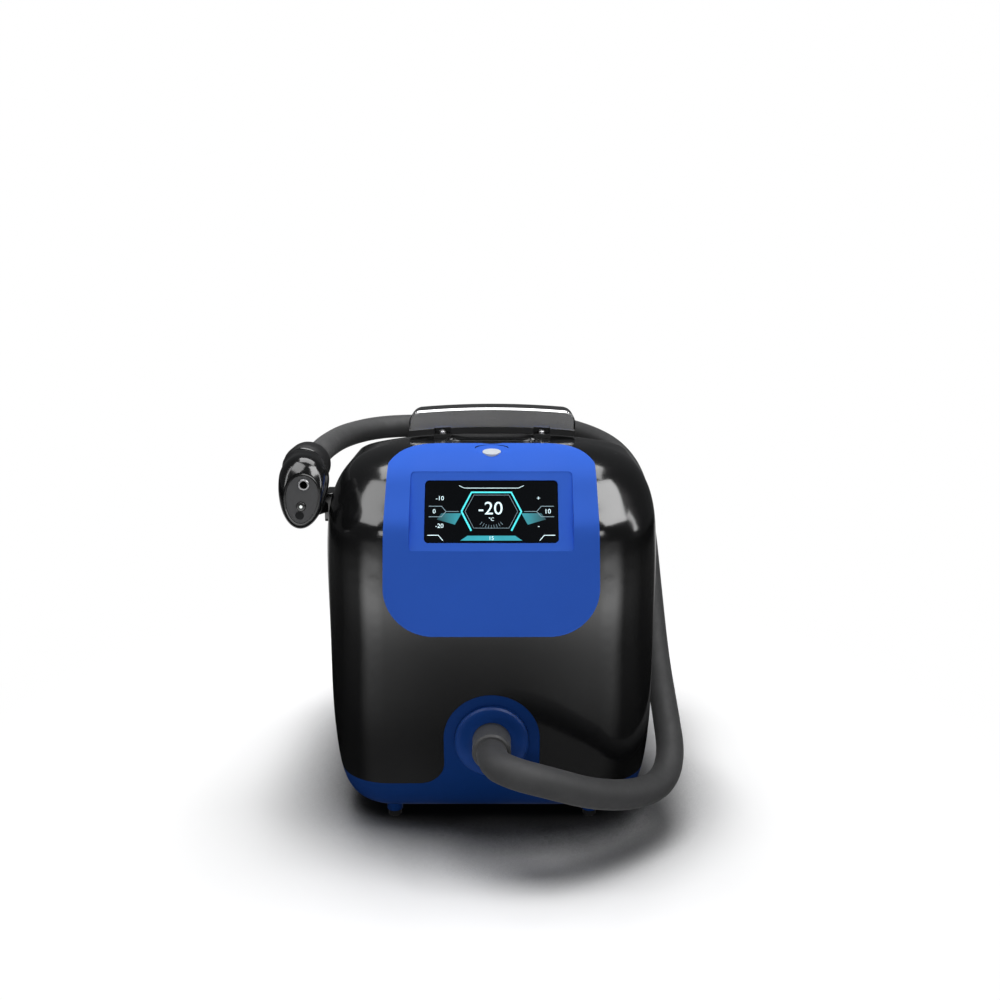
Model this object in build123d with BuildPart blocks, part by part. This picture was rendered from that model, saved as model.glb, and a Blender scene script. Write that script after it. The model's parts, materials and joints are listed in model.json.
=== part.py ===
from build123d import *
import math
import os

os.makedirs("parts", exist_ok=True)

# Housing form, in millimetres
housing_width = 380.0
housing_depth = 420.0
base_bottom = 17.0
crown_height = 449.0
corner_radius = 70.0
shell_wall = 3.0
seam_height = 57.0
fit_gap = 0.3
seat_gap = 0.15
overrun = 30.0
quarter_turn = 90.0
half_turn = 180.0

# The frame stands on the feet, under the middle of the housing with its handpiece
housing_x = 22.5
housing_y = -197.5

# Level contours of the housing: height, width, front, back and corner, as shares of its own sizes
contour_shares = (
    (0.0, 0.81, 0.110, 0.886, 0.57),
    (0.03, 0.92, 0.076, 0.924, 0.79),
    (0.10, 0.974, 0.048, 0.957, 0.93),
    (0.24, 0.997, 0.019, 0.981, 0.97),
    (0.424, 1.0, 0.005, 1.0, 1.0),
    (0.655, 1.0, 0.0, 0.990, 1.0),
    (0.76, 0.997, 0.005, 0.950, 1.0),
    (0.815, 0.989, 0.014, 0.905, 1.0),
    (0.863, 0.974, 0.048, 0.833, 0.985),
    (0.898, 0.947, 0.074, 0.762, 0.97),
    (0.931, 0.90, 0.100, 0.674, 0.94),
    (0.958, 0.826, 0.136, 0.571, 0.885),
    (0.979, 0.695, 0.174, 0.476, 0.74),
    (0.993, 0.474, 0.231, 0.424, 0.486),
    (1.0, 0.263, 0.281, 0.386, 0.257),
)

# Hose port in the blue arch of the base
port_height = 120.0
arch_radius = 55.0
arch_flare = 30.0
arch_depth = 60.0
port_ring_radius = 42.0
port_ring_front = -2.0
port_ring_back = 24.0
port_flange_radius = 48.0
port_flange = 3.0
collar_radius = 21.7
collar_front = -28.0
collar_back = 20.0
hose_radius = 16.0
hose_seat = 8.0
hose_wall = 2.5
bend_share = 0.45
spigot_radius = 13.0
spigot_wall = 2.0
duct_radius = 23.0
duct_wall = 3.0
duct_mouth = 34.0
duct_lap = 10.0
duct_y = 150.0
duct_bend = 45.0
port_dish = 5.0

# Fascia, display and power button
fascia_width = 241.0
fascia_top_width = 230.0
fascia_bottom = 247.0
fascia_back = 98.0
fascia_proud = 1.6
fascia_lower_corner = 55.0
fascia_upper_corner = 64.0
display_width = 147.6
display_height = 72.0
display_lean = 29.0
display_depth = 22.8
display_level = 383.6
display_corner = 5.0
glass_thickness = 1.8
bezel_margin_x = 16.0
bezel_margin_y = 10.0
bezel_step = 0.6
frame_rim = 3.0
frame_back = 4.0
module_margin = 7.0
module_thickness = 8.0
button_depth = 75.0
button_level = 442.6
button_slope = 8.0
button_radius = 10.6
button_dish_radius = 19.5
button_dish_sag = 2.2
button_top = -0.6
button_round = 0.6
button_travel = 1.5
button_flange = 2.4
button_stem = 1.5
switch_height = 4.0
switch_leg = 4.0
button_boss_radius = 21.0
button_boss_drop = 9.0

# Carry handle
handle_length = 201.0
handle_front = 147.0
handle_base = 447.5
handle_depth = 44.0
handle_height = 30.0
handle_rise = 5.0
handle_corner = 15.0
handle_end = 8.0
rail_height = 6.5
rail_depth = 38.0
groove_height = 2.2
notch_width = 20.0
notch_depth = 11.0
handle_fixing_x = 60.0
handle_foot_radius = 9.0
handle_foot_drop = 12.0
handle_foot_y = 158.0
handle_screw_y = 152.5
handle_screw_head = 4.5
handle_screw_dome = 2.5
handle_top = 9.0
handle_wall = 18.0
notch_floor = 1.0
groove_depth = 2.0

# Feet
foot_x = 117.7
foot_front = 54.0
foot_back = 352.0
foot_radius = 8.0
foot_height = 8.0
foot_boss_radius = 9.5

# Chassis and the tabs that hold the housing to its base
chassis_width = 312.0
chassis_depth = 308.0
chassis_corner = 40.0
chassis_y = 222.0
chassis_level = 26.0
chassis_thickness = 2.0
chassis_post_x = 140.0
chassis_post_y = 130.0
post_radius = 6.0
tab_x = 160.0
tab_front = 85.0
tab_back = 350.0
tab_size = 18.0
tab_height = 16.0
screw_radius = 2.0
screw_head_radius = 3.8
screw_head = 2.5

# Rear cover, mains inlet and mains switch
cover_width = 280.0
cover_bottom = 80.0
cover_top = 330.0
cover_corner = 14.0
cover_from = 375.0
cover_screw_x = 130.0
louvre_width = 84.0
louvre_height = 5.0
louvre_pitch = 13.0
louvre_rows = 12
louvre_columns = 2
louvre_level = 228.0
bracket_front = 384.0
bracket_height = 14.0
bracket_inner = 122.0
bracket_outer = 152.0
cover_seat = 398.0
cover_boss_radius = 5.0
cover_head_seat = 402.0
screw_levels = (90.0, 205.0, 320.0)
inlet_x = -98.0
inlet_level = 110.0
inlet_face = 406.0
inlet_panel_width = 92.0
inlet_panel_height = 40.0
inlet_panel_x = -80.0
inlet_panel_thickness = 3.0
inlet_flange_width = 31.0
inlet_flange_height = 24.0
inlet_flange = 2.5
inlet_body_width = 27.0
inlet_body_height = 19.8
inlet_body_depth = 24.0
inlet_socket_width = 22.5
inlet_socket_height = 15.5
inlet_socket_depth = 16.0
inlet_pin_inset = 5.0
rocker_x = -56.0
rocker_width = 14.0
rocker_bezel_width = 21.0
rocker_bezel_height = 17.0
rocker_bezel = 1.8
rocker_body_depth = 14.0
rocker_tilt = 8.0
rocker_pivot_back = 3.0
rocker_gap = 0.5
rocker_half = 5.2
rocker_root_half = 4.2
rocker_out = 3.5
rocker_valley = 2.8
inlet_pin_x = 7.0
inlet_pin_z = 2.0
inlet_pin_width = 2.0
inlet_pin_height = 4.0
inlet_socket_chamfer = 4.0

# Cooling circuit
compressor_x = -100.0
compressor_y = 300.0
compressor_radius = 55.0
compressor_height = 150.0
compressor_base = 3.0
compressor_dome = 24.0
grommet_radius = 8.0
grommet_height = 10.0
grommet_circle = 68.0
accumulator_radius = 19.0
accumulator_height = 110.0
accumulator_level = 80.0
accumulator_x = -152.0
accumulator_y = 245.0
condenser_x = 60.0
condenser_level = 150.0
condenser_width = 144.0
condenser_height = 180.0
condenser_depth = 36.0
condenser_front = 344.0
condenser_fins = 22
fin_gap = 5.0
fin_cut = 14.0
fin_wall = 3.0
coil_fins = 14
fan_radius = 68.0
fan_tip_gap = 3.0
fan_hub_radius = 28.0
fan_hub_front = 312.0
fan_hub_depth = 20.0
fan_blades_count = 7
fan_blade_thickness = 2.4
fan_root_chord = 30.0
fan_tip_chord = 40.0
fan_root_pitch = 42.0
fan_tip_pitch = 24.0
shroud_plate = 2.5
shroud_wall = 2.5
shroud_arms = 4
fan_motor_radius = 27.0
fan_motor_depth = 30.0
fan_motor_gap = 5.0
shaft_radius = 3.0
shaft_gap = 0.1
filter_thickness = 4.0
filter_width = 200.0
filter_height = 176.0
filter_rim = 8.0

# Cold air path
box_width = 152.0
box_depth = 120.0
box_height = 96.0
box_y = 175.0
box_bottom = 202.0
box_wall = 10.0
box_lid = 8.0
coil_share = 0.78
stand_top = 2.0
stand_leg = 15.0
stand_leg_x = 62.0
volute_height = 48.0
volute_wall = 2.5
volute_radius = 64.0
volute_outlet = 82.0
volute_inlet_radius = 40.0
wheel_radius = 52.0
wheel_height = 34.0
wheel_blades = 24
wheel_blade_depth = 10.0
wheel_blade_thickness = 1.6
wheel_ring = 3.0
blower_motor_radius = 24.0
blower_motor_height = 28.0
elbow_size = 38.0
elbow_wall = 2.0
elbow_y = 146.0
elbow_low = 250.0
pipe_radius = 4.0
pipe_bend = 14.0
discharge_x = -85.0
discharge_y = 305.0
discharge_level = 222.0
discharge_turn_x = -40.0
header_y = 362.0
suction_y = 210.0
suction_level = 225.0
drier_x = -30.0
drier_level = 112.0
drier_height = 48.0
drier_radius = 9.0
liquid_level = 80.0
liquid_y = 350.0
capillary_level = 250.0
capillary_radius = 3.0
drain_level = 214.0

# Electronics
board_length = 150.0
board_height = 110.0
board_thickness = 1.6
board_x = 172.0
board_y = 200.0
board_bottom = 255.0
board_part_height = 16.0
board_fixing_shares = (-0.43, 0.43)
board_part_shares = (
    (-0.28, 0.2, 0.22, 0.3),
    (0.05, -0.2, 0.18, 0.34),
    (0.3, 0.15, 0.16, 0.24),
)
supply_length = 130.0
supply_width = 62.0
supply_height = 40.0
supply_x = 118.0
supply_y = 166.0
supply_slots = 6
bottle_radius = 30.0
bottle_height = 90.0
bottle_x = -122.0
bottle_wall = 2.0
bottle_y = 130.0

# Handpiece and its holder
handpiece_x = -203.5
handpiece_level = 419.0
handpiece_width = 54.0
handpiece_height = 82.0
handpiece_front = -7.0
handpiece_depth = 55.0
handpiece_board_front = 4.0
handpiece_board_width = 20.0
handpiece_board_height = 24.0
handpiece_post_places = ((-8.0, -30.0), (13.0, -15.0))
duct_thickness = 1.5
handpiece_tilt = 8.0
handpiece_wall = 2.5
handpiece_rim = 2.0
handpiece_ledge = 4.0
face_sunk = 0.8
face_thickness = 3.0
nozzle_x = 3.8
nozzle_up = 1.0
nozzle_radius = 4.2
nozzle_ring_radius = 6.4
nozzle_ring_proud = 1.2
nozzle_length = 12.0
trigger_x = 3.4
trigger_up = -23.0
trigger_radius = 5.0
trigger_dome = 1.6
trigger_travel = 1.0
trigger_depth = 6.0
led_radius = 1.6
lens_x = 2.7
lens_up = -33.0
lens_radius = 4.5
lens_thickness = 1.5
neck_x = -209.0
neck_level = 428.0
neck_radius = 22.0
neck_front = 48.0
neck_ring_radius = 25.0
neck_seat = 70.0
neck_back = 78.0
neck_bore = 13.0
neck_flare = 7.0
neck_chamfer = 2.0
pin_radius = 5.0
pin_y = 56.0
pin_top = 408.0
cup_radius = 9.0
cup_top = 386.0
cup_floor = 371.0
cup_bottom = 367.0
arm_height = 10.0
arm_depth = 12.0
arm_level = 375.0
arm_root_x = -190.0
arm_root_y = 92.0
holder_plate_thickness = 4.0
holder_plate_length = 40.0
holder_plate_height = 34.0
holder_plate_y = 100.0
holder_plate_level = 375.0
holder_fixings = ((112.0, 366.0), (112.0, 384.0))

# Sections of the handpiece, front to back: depth, sideways, middle, half width, above and below
handpiece_shares = (
    (0.0, 0.061, -0.134, 0.361, 0.293, 0.402),
    (0.073, 0.048, -0.091, 0.417, 0.335, 0.488),
    (0.2, 0.024, -0.037, 0.469, 0.366, 0.573),
    (0.364, 0.0, 0.0, 0.5, 0.36, 0.64),
    (0.6, -0.019, 0.024, 0.491, 0.341, 0.598),
    (0.818, -0.074, 0.073, 0.454, 0.293, 0.439),
    (1.0, -0.13, 0.11, 0.398, 0.262, 0.262),
)

# The hose's route, from the port round the right side and over the top to the handpiece
hose_route = (
    (0, -20, 120),
    (0, -50, 120),
    (24, -73, 119),
    (66, -72, 107),
    (109, -56, 86),
    (159, -26, 68),
    (197, 9, 63),
    (214, 46, 80),
    (213, 92, 112),
    (211, 160, 157),
    (210, 226, 226),
    (211, 304, 298),
    (206, 367, 352),
    (183, 396, 387),
    (142, 384, 412),
    (84, 344, 433),
    (0, 304, 441),
    (-89, 289, 441),
    (-149, 277, 441),
    (-187, 233, 438),
    (-203, 174, 434),
    (-209, 122, 428),
    (-209, 70, 428),
)


def level(height):
    """A horizontal plane over the housing's own middle front."""
    return Plane((housing_x, housing_y, height))


def front(depth, x=0.0, z=0.0):
    """An upright plane that faces the user, so many millimetres behind the housing's front."""
    return Plane((housing_x + x, housing_y + depth, z), x_dir=(1, 0, 0), z_dir=(0, -1, 0))


def side(x, depth=0.0, z=0.0):
    """An upright plane that faces right, so far from the housing's middle."""
    return Plane((housing_x + x, housing_y + depth, z), x_dir=(0, 1, 0), z_dir=(1, 0, 0))


def leaning(depth, height, angle, offset=0.0):
    """A plane across the housing that faces forward and up; at 0 degrees it stands upright."""
    normal = (0, -math.cos(math.radians(angle)), math.sin(math.radians(angle)))
    return Plane((housing_x, housing_y + depth, height), x_dir=(1, 0, 0), z_dir=normal).offset(offset)


def contour_faces(shares, inset):
    """The housing's level contours, drawn in by inset, from the bottom to the crown."""
    faces = []
    for height_share, width_share, front_share, back_share, corner_share in shares:
        height = base_bottom + inset + height_share * (crown_height - base_bottom - 2 * inset)
        ahead = front_share * housing_depth + inset
        behind = back_share * housing_depth - inset
        with BuildSketch(level(height)) as contour:
            with Locations((0, (ahead + behind) / 2)):
                RectangleRounded(
                    width_share * housing_width - 2 * inset,
                    behind - ahead,
                    corner_share * corner_radius - inset,
                )
        faces.append(contour.sketch)
    return faces


def tube_path(points, radius):
    """Straight runs joined by tangent arcs, through points given over the housing's middle front."""
    placed = [(housing_x + x, housing_y + y, z) for x, y, z in points]
    with BuildLine() as path:
        FilletPolyline(*placed, radius=radius)
    return path.line


def screw_set(plane, places, head, shank):
    """Screws on a plane, with heads to one side of it and shanks to the other, by their signs."""
    with BuildPart() as screws:
        with BuildSketch(plane):
            with Locations(*places):
                Circle(screw_head_radius)
        extrude(amount=head)
        with BuildSketch(plane):
            with Locations(*places):
                Circle(screw_radius - seat_gap)
        extrude(amount=shank)
    return screws.part


def finish(piece, name):
    """Names a finished piece and writes it."""
    piece.part.label = name
    export_step(piece.part, f"parts/{name}.step")


# The outer and inner forms from which the covers are cut
with BuildPart() as outer_form:
    loft(contour_faces(contour_shares, 0.0))

with BuildPart() as inner_form:
    loft(contour_faces(contour_shares, shell_wall))

with BuildPart() as middle_form:
    loft(contour_faces(contour_shares, shell_wall / 2))

with BuildPart() as seat_form:
    loft(contour_faces(contour_shares, -seat_gap))

with BuildPart() as wall_form:
    add(outer_form.part)
    add(inner_form.part, mode=Mode.SUBTRACT)

with BuildSketch(front(-overrun)) as arch_outline:
    with Locations((0, port_height)):
        Circle(arch_radius)
    with Locations((0, seam_height)):
        Rectangle(2 * arch_radius, port_height - seam_height, align=(Align.CENTER, Align.MIN))
        Rectangle(2 * (arch_radius + arch_flare) + overrun, overrun, align=(Align.CENTER, Align.MAX))
    corners = arch_outline.vertices().filter_by(
        lambda v: abs(v.Y - seam_height) < fit_gap and abs(abs(v.X) - arch_radius) < fit_gap
    )
    fillet(corners, arch_flare)

# Blue base tray with its arch, its feet bosses and the posts inside it
with BuildPart() as base_form:
    with BuildSketch(level(seam_height)):
        Rectangle(2 * housing_width, 4 * housing_depth)
    extrude(amount=-seam_height)
    extrude(arch_outline.sketch, amount=-(overrun + arch_depth))

post_root = base_bottom + shell_wall / 2
tab_places = [(x, y) for x in (-tab_x, tab_x) for y in (tab_front, tab_back)]
foot_places = [(x, y) for x in (-foot_x, foot_x) for y in (foot_front, foot_back)]
chassis_places = [
    (x, chassis_y + y) for x in (-chassis_post_x, chassis_post_x) for y in (-chassis_post_y, chassis_post_y)
]
tab_post_radius = post_radius + screw_radius
tab_head_seat = base_bottom + 3 * screw_head

with BuildPart() as base_posts:
    with BuildSketch(level(post_root)):
        with Locations(*chassis_places):
            Circle(post_radius)
    extrude(amount=chassis_level - post_root)
    with BuildSketch(level(post_root)):
        with Locations(*tab_places):
            Circle(tab_post_radius)
    extrude(amount=seam_height - post_root)
    add(middle_form.part, mode=Mode.INTERSECT)

with BuildPart() as base_tray:
    add(wall_form.part)
    add(base_form.part, mode=Mode.INTERSECT)
    add(base_posts.part)
    with BuildSketch(level(foot_height)):
        with Locations(*foot_places):
            Circle(foot_boss_radius)
    extrude(amount=post_root - foot_height)
    with BuildSketch(front(-overrun)):
        with Locations((0, port_height)):
            Circle(port_ring_radius + fit_gap)
    extrude(amount=-(overrun + arch_depth), mode=Mode.SUBTRACT)
    with BuildSketch(level(0)):
        with Locations(*tab_places):
            Circle(screw_head_radius + fit_gap)
    extrude(amount=tab_head_seat, mode=Mode.SUBTRACT)
    with BuildSketch(level(0)):
        with Locations(*tab_places):
            Circle(screw_radius + fit_gap)
        with Locations(*chassis_places):
            Circle(screw_radius)
        with Locations(*foot_places):
            Circle(screw_radius)
    extrude(amount=2 * seam_height, mode=Mode.SUBTRACT)
finish(base_tray, "base_tray")

# Black housing over the base, with its openings for display, button and rear cover
display_plane = leaning(display_depth, display_level, display_lean)
button_plane = leaning(button_depth, button_level, quarter_turn - button_slope)
bezel_width = display_width + 2 * bezel_margin_x
bezel_height = display_height + 2 * bezel_margin_y
board_back = board_x + board_thickness
board_fixings = [
    (y_share * board_length, z_share * board_height)
    for y_share in board_fixing_shares
    for z_share in board_fixing_shares
]
handle_fixings = [(-handle_fixing_x, handle_screw_y), (handle_fixing_x, handle_screw_y)]
cover_middle = (cover_bottom + cover_top) / 2
cover_fixings = [(x, z) for x in (-cover_screw_x, cover_screw_x) for z in screw_levels]

with BuildPart() as shell_inside:
    with BuildSketch(level(seam_height)):
        for x in (-1, 1):
            with Locations((x * (tab_x + tab_size), tab_front), (x * (tab_x + tab_size), tab_back)):
                Rectangle(3 * tab_size, tab_size)
    extrude(amount=tab_height)
    with BuildSketch(side(board_back, board_y, board_bottom + board_height / 2)):
        with Locations(*board_fixings):
            Circle(2 * screw_radius)
    extrude(amount=overrun)
    for x in (-1, 1):
        with BuildSketch(front(bracket_front)):
            with Locations(*[(x * (bracket_inner + bracket_outer) / 2, z) for z in screw_levels]):
                Rectangle(bracket_outer - bracket_inner, bracket_height)
        extrude(amount=-(cover_seat - bracket_front))
        with BuildSketch(front(bracket_front)):
            with Locations(*[(x * (cover_width / 2 + bracket_outer) / 2, z) for z in screw_levels]):
                Rectangle(bracket_outer - cover_width / 2, bracket_height)
        extrude(amount=-2 * overrun)
    add(middle_form.part, mode=Mode.INTERSECT)

with BuildPart() as shell_openings:
    with BuildSketch(level(seam_height)):
        Rectangle(2 * housing_width, 4 * housing_depth)
    extrude(amount=-seam_height)
    with BuildSketch(front(-overrun)):
        add(arch_outline.sketch_local)
        offset(amount=fit_gap)
    extrude(amount=-(overrun + arch_depth))
    with BuildSketch(display_plane):
        RectangleRounded(
            bezel_width + 2 * (frame_rim + fit_gap),
            bezel_height + 2 * (frame_rim + fit_gap),
            display_corner + frame_rim,
        )
    extrude(amount=overrun, both=True)
    with BuildSketch(button_plane):
        Circle(button_boss_radius + fit_gap)
    extrude(amount=overrun / 2, both=True)
    with BuildSketch(front(housing_depth + overrun, 0, cover_middle)):
        RectangleRounded(cover_width, cover_top - cover_bottom, cover_corner)
    extrude(amount=housing_depth + overrun - cover_seat)
    with BuildSketch(level(seam_height)):
        with Locations(*tab_places):
            Circle(screw_radius)
    extrude(amount=2 * tab_height)
    with BuildSketch(front(bracket_front)):
        with Locations(*cover_fixings):
            Circle(screw_radius)
    extrude(amount=bracket_front - cover_seat, both=True)
    with BuildSketch(level(handle_base - overrun / 2)):
        with Locations(*handle_fixings):
            Circle(screw_radius)
    extrude(amount=overrun)
    with BuildSketch(side(-housing_width / 2 - overrun)):
        with Locations(*holder_fixings):
            Circle(screw_radius)
    extrude(amount=2 * overrun)

with BuildPart() as housing_shell:
    add(wall_form.part)
    add(shell_inside.part)
    add(shell_openings.part, mode=Mode.SUBTRACT)
finish(housing_shell, "housing_shell")

# Screws that hold the housing to its base, from below
with BuildPart() as housing_screws:
    tab_shank = seam_height + tab_height / 2 - tab_head_seat
    add(screw_set(level(tab_head_seat), tab_places, -screw_head, tab_shank))
finish(housing_screws, "housing_screws")

# Rubber feet and their screws
foot_head_seat = 2 * screw_head
with BuildPart() as rubber_feet:
    with BuildSketch(level(0)):
        with Locations(*foot_places):
            Circle(foot_radius)
    extrude(amount=foot_height)
    chamfer(rubber_feet.faces().sort_by(Axis.Z)[: len(foot_places)].edges(), foot_radius / 8)
    with BuildSketch(level(0)):
        with Locations(*foot_places):
            Circle(screw_head_radius + fit_gap)
    extrude(amount=foot_head_seat, mode=Mode.SUBTRACT)
    with BuildSketch(level(0)):
        with Locations(*foot_places):
            Circle(screw_radius)
    extrude(amount=foot_height, mode=Mode.SUBTRACT)
finish(rubber_feet, "rubber_feet")

with BuildPart() as foot_screws:
    add(screw_set(level(foot_head_seat), foot_places, -screw_head, base_bottom - foot_head_seat))
finish(foot_screws, "foot_screws")

# Rear cover with louvres and the pocket for the mains inlet
with BuildPart() as cover_inside:
    with BuildSketch(front(cover_seat)):
        with Locations(*cover_fixings):
            Circle(cover_boss_radius)
        with Locations((0, louvre_level)):
            with GridLocations(filter_width - 2 * filter_rim, filter_height - filter_rim, 2, 2):
                Circle(filter_rim / 2)
    extrude(amount=-overrun)
    with BuildSketch(front(inlet_face - inlet_panel_thickness, inlet_panel_x, inlet_level)):
        Rectangle(inlet_panel_width, inlet_panel_height)
    extrude(amount=-overrun)
    add(middle_form.part, mode=Mode.INTERSECT)

with BuildPart() as rear_cover:
    add(wall_form.part)
    with BuildSketch(front(housing_depth + overrun, 0, cover_middle)):
        RectangleRounded(
            cover_width - 2 * fit_gap,
            cover_top - cover_bottom - 2 * fit_gap,
            cover_corner - fit_gap,
        )
    extrude(amount=housing_depth + overrun - cover_from, mode=Mode.INTERSECT)
    add(cover_inside.part)
    with BuildSketch(front(inlet_face, inlet_panel_x, inlet_level)):
        Rectangle(inlet_panel_width - 2 * shell_wall, inlet_panel_height - 2 * shell_wall)
    extrude(amount=-overrun, mode=Mode.SUBTRACT)
    with BuildSketch(front(cover_from, 0, inlet_level)):
        with Locations((inlet_x, 0)):
            Rectangle(inlet_body_width + fit_gap, inlet_body_height + fit_gap)
        with Locations((rocker_x, 0)):
            Rectangle(
                rocker_bezel_width - 2 * rocker_bezel + fit_gap,
                rocker_bezel_height - 2 * rocker_bezel + fit_gap,
            )
    extrude(amount=-2 * overrun, mode=Mode.SUBTRACT)
    with BuildSketch(front(cover_head_seat)):
        with Locations(*cover_fixings):
            Circle(screw_head_radius + fit_gap)
    extrude(amount=-overrun, mode=Mode.SUBTRACT)
    with BuildSketch(front(cover_from)):
        with Locations(*cover_fixings):
            Circle(screw_radius + fit_gap)
    extrude(amount=-2 * overrun, mode=Mode.SUBTRACT)
    with BuildSketch(front(cover_from, 0, louvre_level)):
        with GridLocations(louvre_width + 4 * filter_rim, louvre_pitch, louvre_columns, louvre_rows):
            Rectangle(louvre_width, louvre_height)
    extrude(amount=-2 * overrun, mode=Mode.SUBTRACT)
finish(rear_cover, "rear_cover")

with BuildPart() as rear_cover_screws:
    cover_shank = cover_head_seat - cover_seat + bracket_height / 2
    add(screw_set(front(cover_head_seat), cover_fixings, -screw_head, cover_shank))
finish(rear_cover_screws, "rear_cover_screws")

# Air filter on the rear cover's pegs
with BuildPart() as air_filter:
    with BuildSketch(front(cover_seat, 0, louvre_level)):
        Rectangle(filter_width, filter_height)
    extrude(amount=filter_thickness)
    with BuildSketch(front(cover_seat, 0, louvre_level)):
        with GridLocations(filter_width / 2, filter_height / 2, 2, 2):
            Rectangle(filter_width / 2 - 2 * filter_rim, filter_height / 2 - 2 * filter_rim)
    extrude(amount=filter_thickness / 4, mode=Mode.SUBTRACT)
    with BuildSketch(front(cover_seat - filter_thickness, 0, louvre_level)):
        with GridLocations(filter_width / 2, filter_height / 2, 2, 2):
            Rectangle(filter_width / 2 - 2 * filter_rim, filter_height / 2 - 2 * filter_rim)
    extrude(amount=-filter_thickness / 4, mode=Mode.SUBTRACT)
finish(air_filter, "air_filter")

# Blue front fascia: a skin over the housing's face, with the display's frame and the button's dish
with BuildPart() as fascia_outline:
    with BuildSketch(front(-overrun)) as seen_from_front:
        Polygon(
            (-fascia_width / 2, fascia_bottom),
            (fascia_width / 2, fascia_bottom),
            (fascia_top_width / 2, crown_height + overrun),
            (-fascia_top_width / 2, crown_height + overrun),
            align=None,
        )
        fillet(seen_from_front.vertices().group_by(Axis.Y)[0], fascia_lower_corner)
    extrude(amount=-(overrun + fascia_back))
    with BuildSketch(level(0)) as seen_from_above:
        with Locations((0, fascia_back)):
            Rectangle(fascia_width, fascia_back + overrun, align=(Align.CENTER, Align.MAX))
        fillet(seen_from_above.vertices().group_by(Axis.Y)[-1], fascia_upper_corner)
    extrude(amount=2 * crown_height, mode=Mode.INTERSECT)

with BuildPart() as fascia_inside:
    with BuildSketch(display_plane.offset(-frame_back)):
        RectangleRounded(
            bezel_width + 2 * frame_rim,
            bezel_height + 2 * frame_rim,
            display_corner + frame_rim,
        )
    extrude(amount=frame_back + overrun)
    with BuildSketch(button_plane.offset(-button_boss_drop)):
        Circle(button_boss_radius)
    extrude(amount=overrun)
    loft(contour_faces(contour_shares, -fascia_proud / 2), mode=Mode.INTERSECT)

module_fixings = [
    (x * (display_width + module_margin) / 2, y * (display_height + module_margin) / 2)
    for x in (-1, 1)
    for y in (-1, 1)
]
dish_curve = (button_dish_radius**2 + button_dish_sag**2) / (2 * button_dish_sag)
with BuildPart() as front_fascia:
    loft(contour_faces(contour_shares, -fascia_proud))
    add(seat_form.part, mode=Mode.SUBTRACT)
    add(fascia_outline.part, mode=Mode.INTERSECT)
    add(fascia_inside.part)
    with BuildSketch(display_plane.offset(bezel_step)):
        RectangleRounded(bezel_width, bezel_height, display_corner)
    extrude(amount=overrun, mode=Mode.SUBTRACT)
    with BuildSketch(display_plane):
        RectangleRounded(display_width, display_height, display_corner)
    extrude(amount=overrun / 2, both=True, mode=Mode.SUBTRACT)
    with BuildSketch(display_plane.offset(-frame_back)):
        with Locations(*module_fixings):
            Circle(screw_radius)
    extrude(amount=frame_back / 2, mode=Mode.SUBTRACT)
    with BuildSketch(button_plane):
        Circle(button_radius + fit_gap)
    extrude(amount=overrun / 2, both=True, mode=Mode.SUBTRACT)
    with Locations(button_plane.offset(dish_curve - button_dish_sag)):
        Sphere(dish_curve, mode=Mode.SUBTRACT)
finish(front_fascia, "front_fascia")

# Display: glass in the fascia's window and the module behind it
with BuildPart() as display_glass:
    with BuildSketch(display_plane):
        RectangleRounded(
            display_width - 2 * fit_gap,
            display_height - 2 * fit_gap,
            display_corner - fit_gap,
        )
    extrude(amount=-glass_thickness)
    chamfer(display_glass.faces().sort_by(Axis.Y)[0].edges(), fit_gap)
finish(display_glass, "display_glass")

with BuildPart() as display_module:
    with BuildSketch(display_plane.offset(-frame_back)):
        Rectangle(display_width + 2 * module_margin, display_height + 2 * module_margin)
    extrude(amount=-module_thickness)
    with BuildSketch(display_plane.offset(-frame_back)):
        Rectangle(display_width - 2 * module_margin, display_height - 2 * module_margin)
    extrude(amount=frame_back - glass_thickness)
    with BuildSketch(display_plane.offset(-frame_back - module_thickness)):
        with Locations((display_width / 4, 0), (-display_width / 4, 0)):
            Rectangle(display_width / 5, display_height / 3)
    extrude(amount=-module_margin)
    with BuildSketch(display_plane.offset(-frame_back)):
        with Locations(*module_fixings):
            Circle(screw_radius + fit_gap)
    extrude(amount=-module_thickness, mode=Mode.SUBTRACT)
finish(display_module, "display_module")

with BuildPart() as display_screws:
    module_back = display_plane.offset(-frame_back - module_thickness)
    add(screw_set(module_back, module_fixings, -screw_head, module_thickness + frame_back / 2 - fit_gap))
finish(display_screws, "display_screws")

# Round power button in its dish, with its switch below
flange_top = -button_boss_drop - fit_gap
flange_bottom = flange_top - button_flange
stem_bottom = flange_bottom - button_stem
switch_top = stem_bottom - button_travel - fit_gap
bracket_top = switch_top - switch_height
with BuildPart() as power_button:
    with BuildSketch(button_plane.offset(flange_top)):
        Circle(button_radius)
    extrude(amount=button_top - flange_top)
    fillet(power_button.faces().sort_by(Axis.Z)[-1].edges(), button_round)
    with BuildSketch(button_plane.offset(flange_bottom)):
        Circle(button_radius + button_flange)
    extrude(amount=button_flange)
    with BuildSketch(button_plane.offset(stem_bottom)):
        Circle(button_stem)
    extrude(amount=button_stem)
finish(power_button, "power_button")

leg_x = button_radius + button_flange + switch_leg
with BuildPart() as button_switch:
    with BuildSketch(button_plane.offset(bracket_top)):
        Rectangle(button_radius, button_radius)
    extrude(amount=switch_height)
    with BuildSketch(button_plane.offset(bracket_top)):
        Rectangle(2 * leg_x + switch_leg, button_radius)
    extrude(amount=-button_flange)
    with BuildSketch(button_plane.offset(bracket_top)):
        with Locations((-leg_x, 0), (leg_x, 0)):
            Rectangle(switch_leg, button_radius)
    extrude(amount=-button_boss_drop - bracket_top)
finish(button_switch, "button_switch")

# Carry handle: a hooked grip over a rail that stands on two feet
handle_curve = (handle_length**2 / 4 + handle_rise**2) / (2 * handle_rise)


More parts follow.
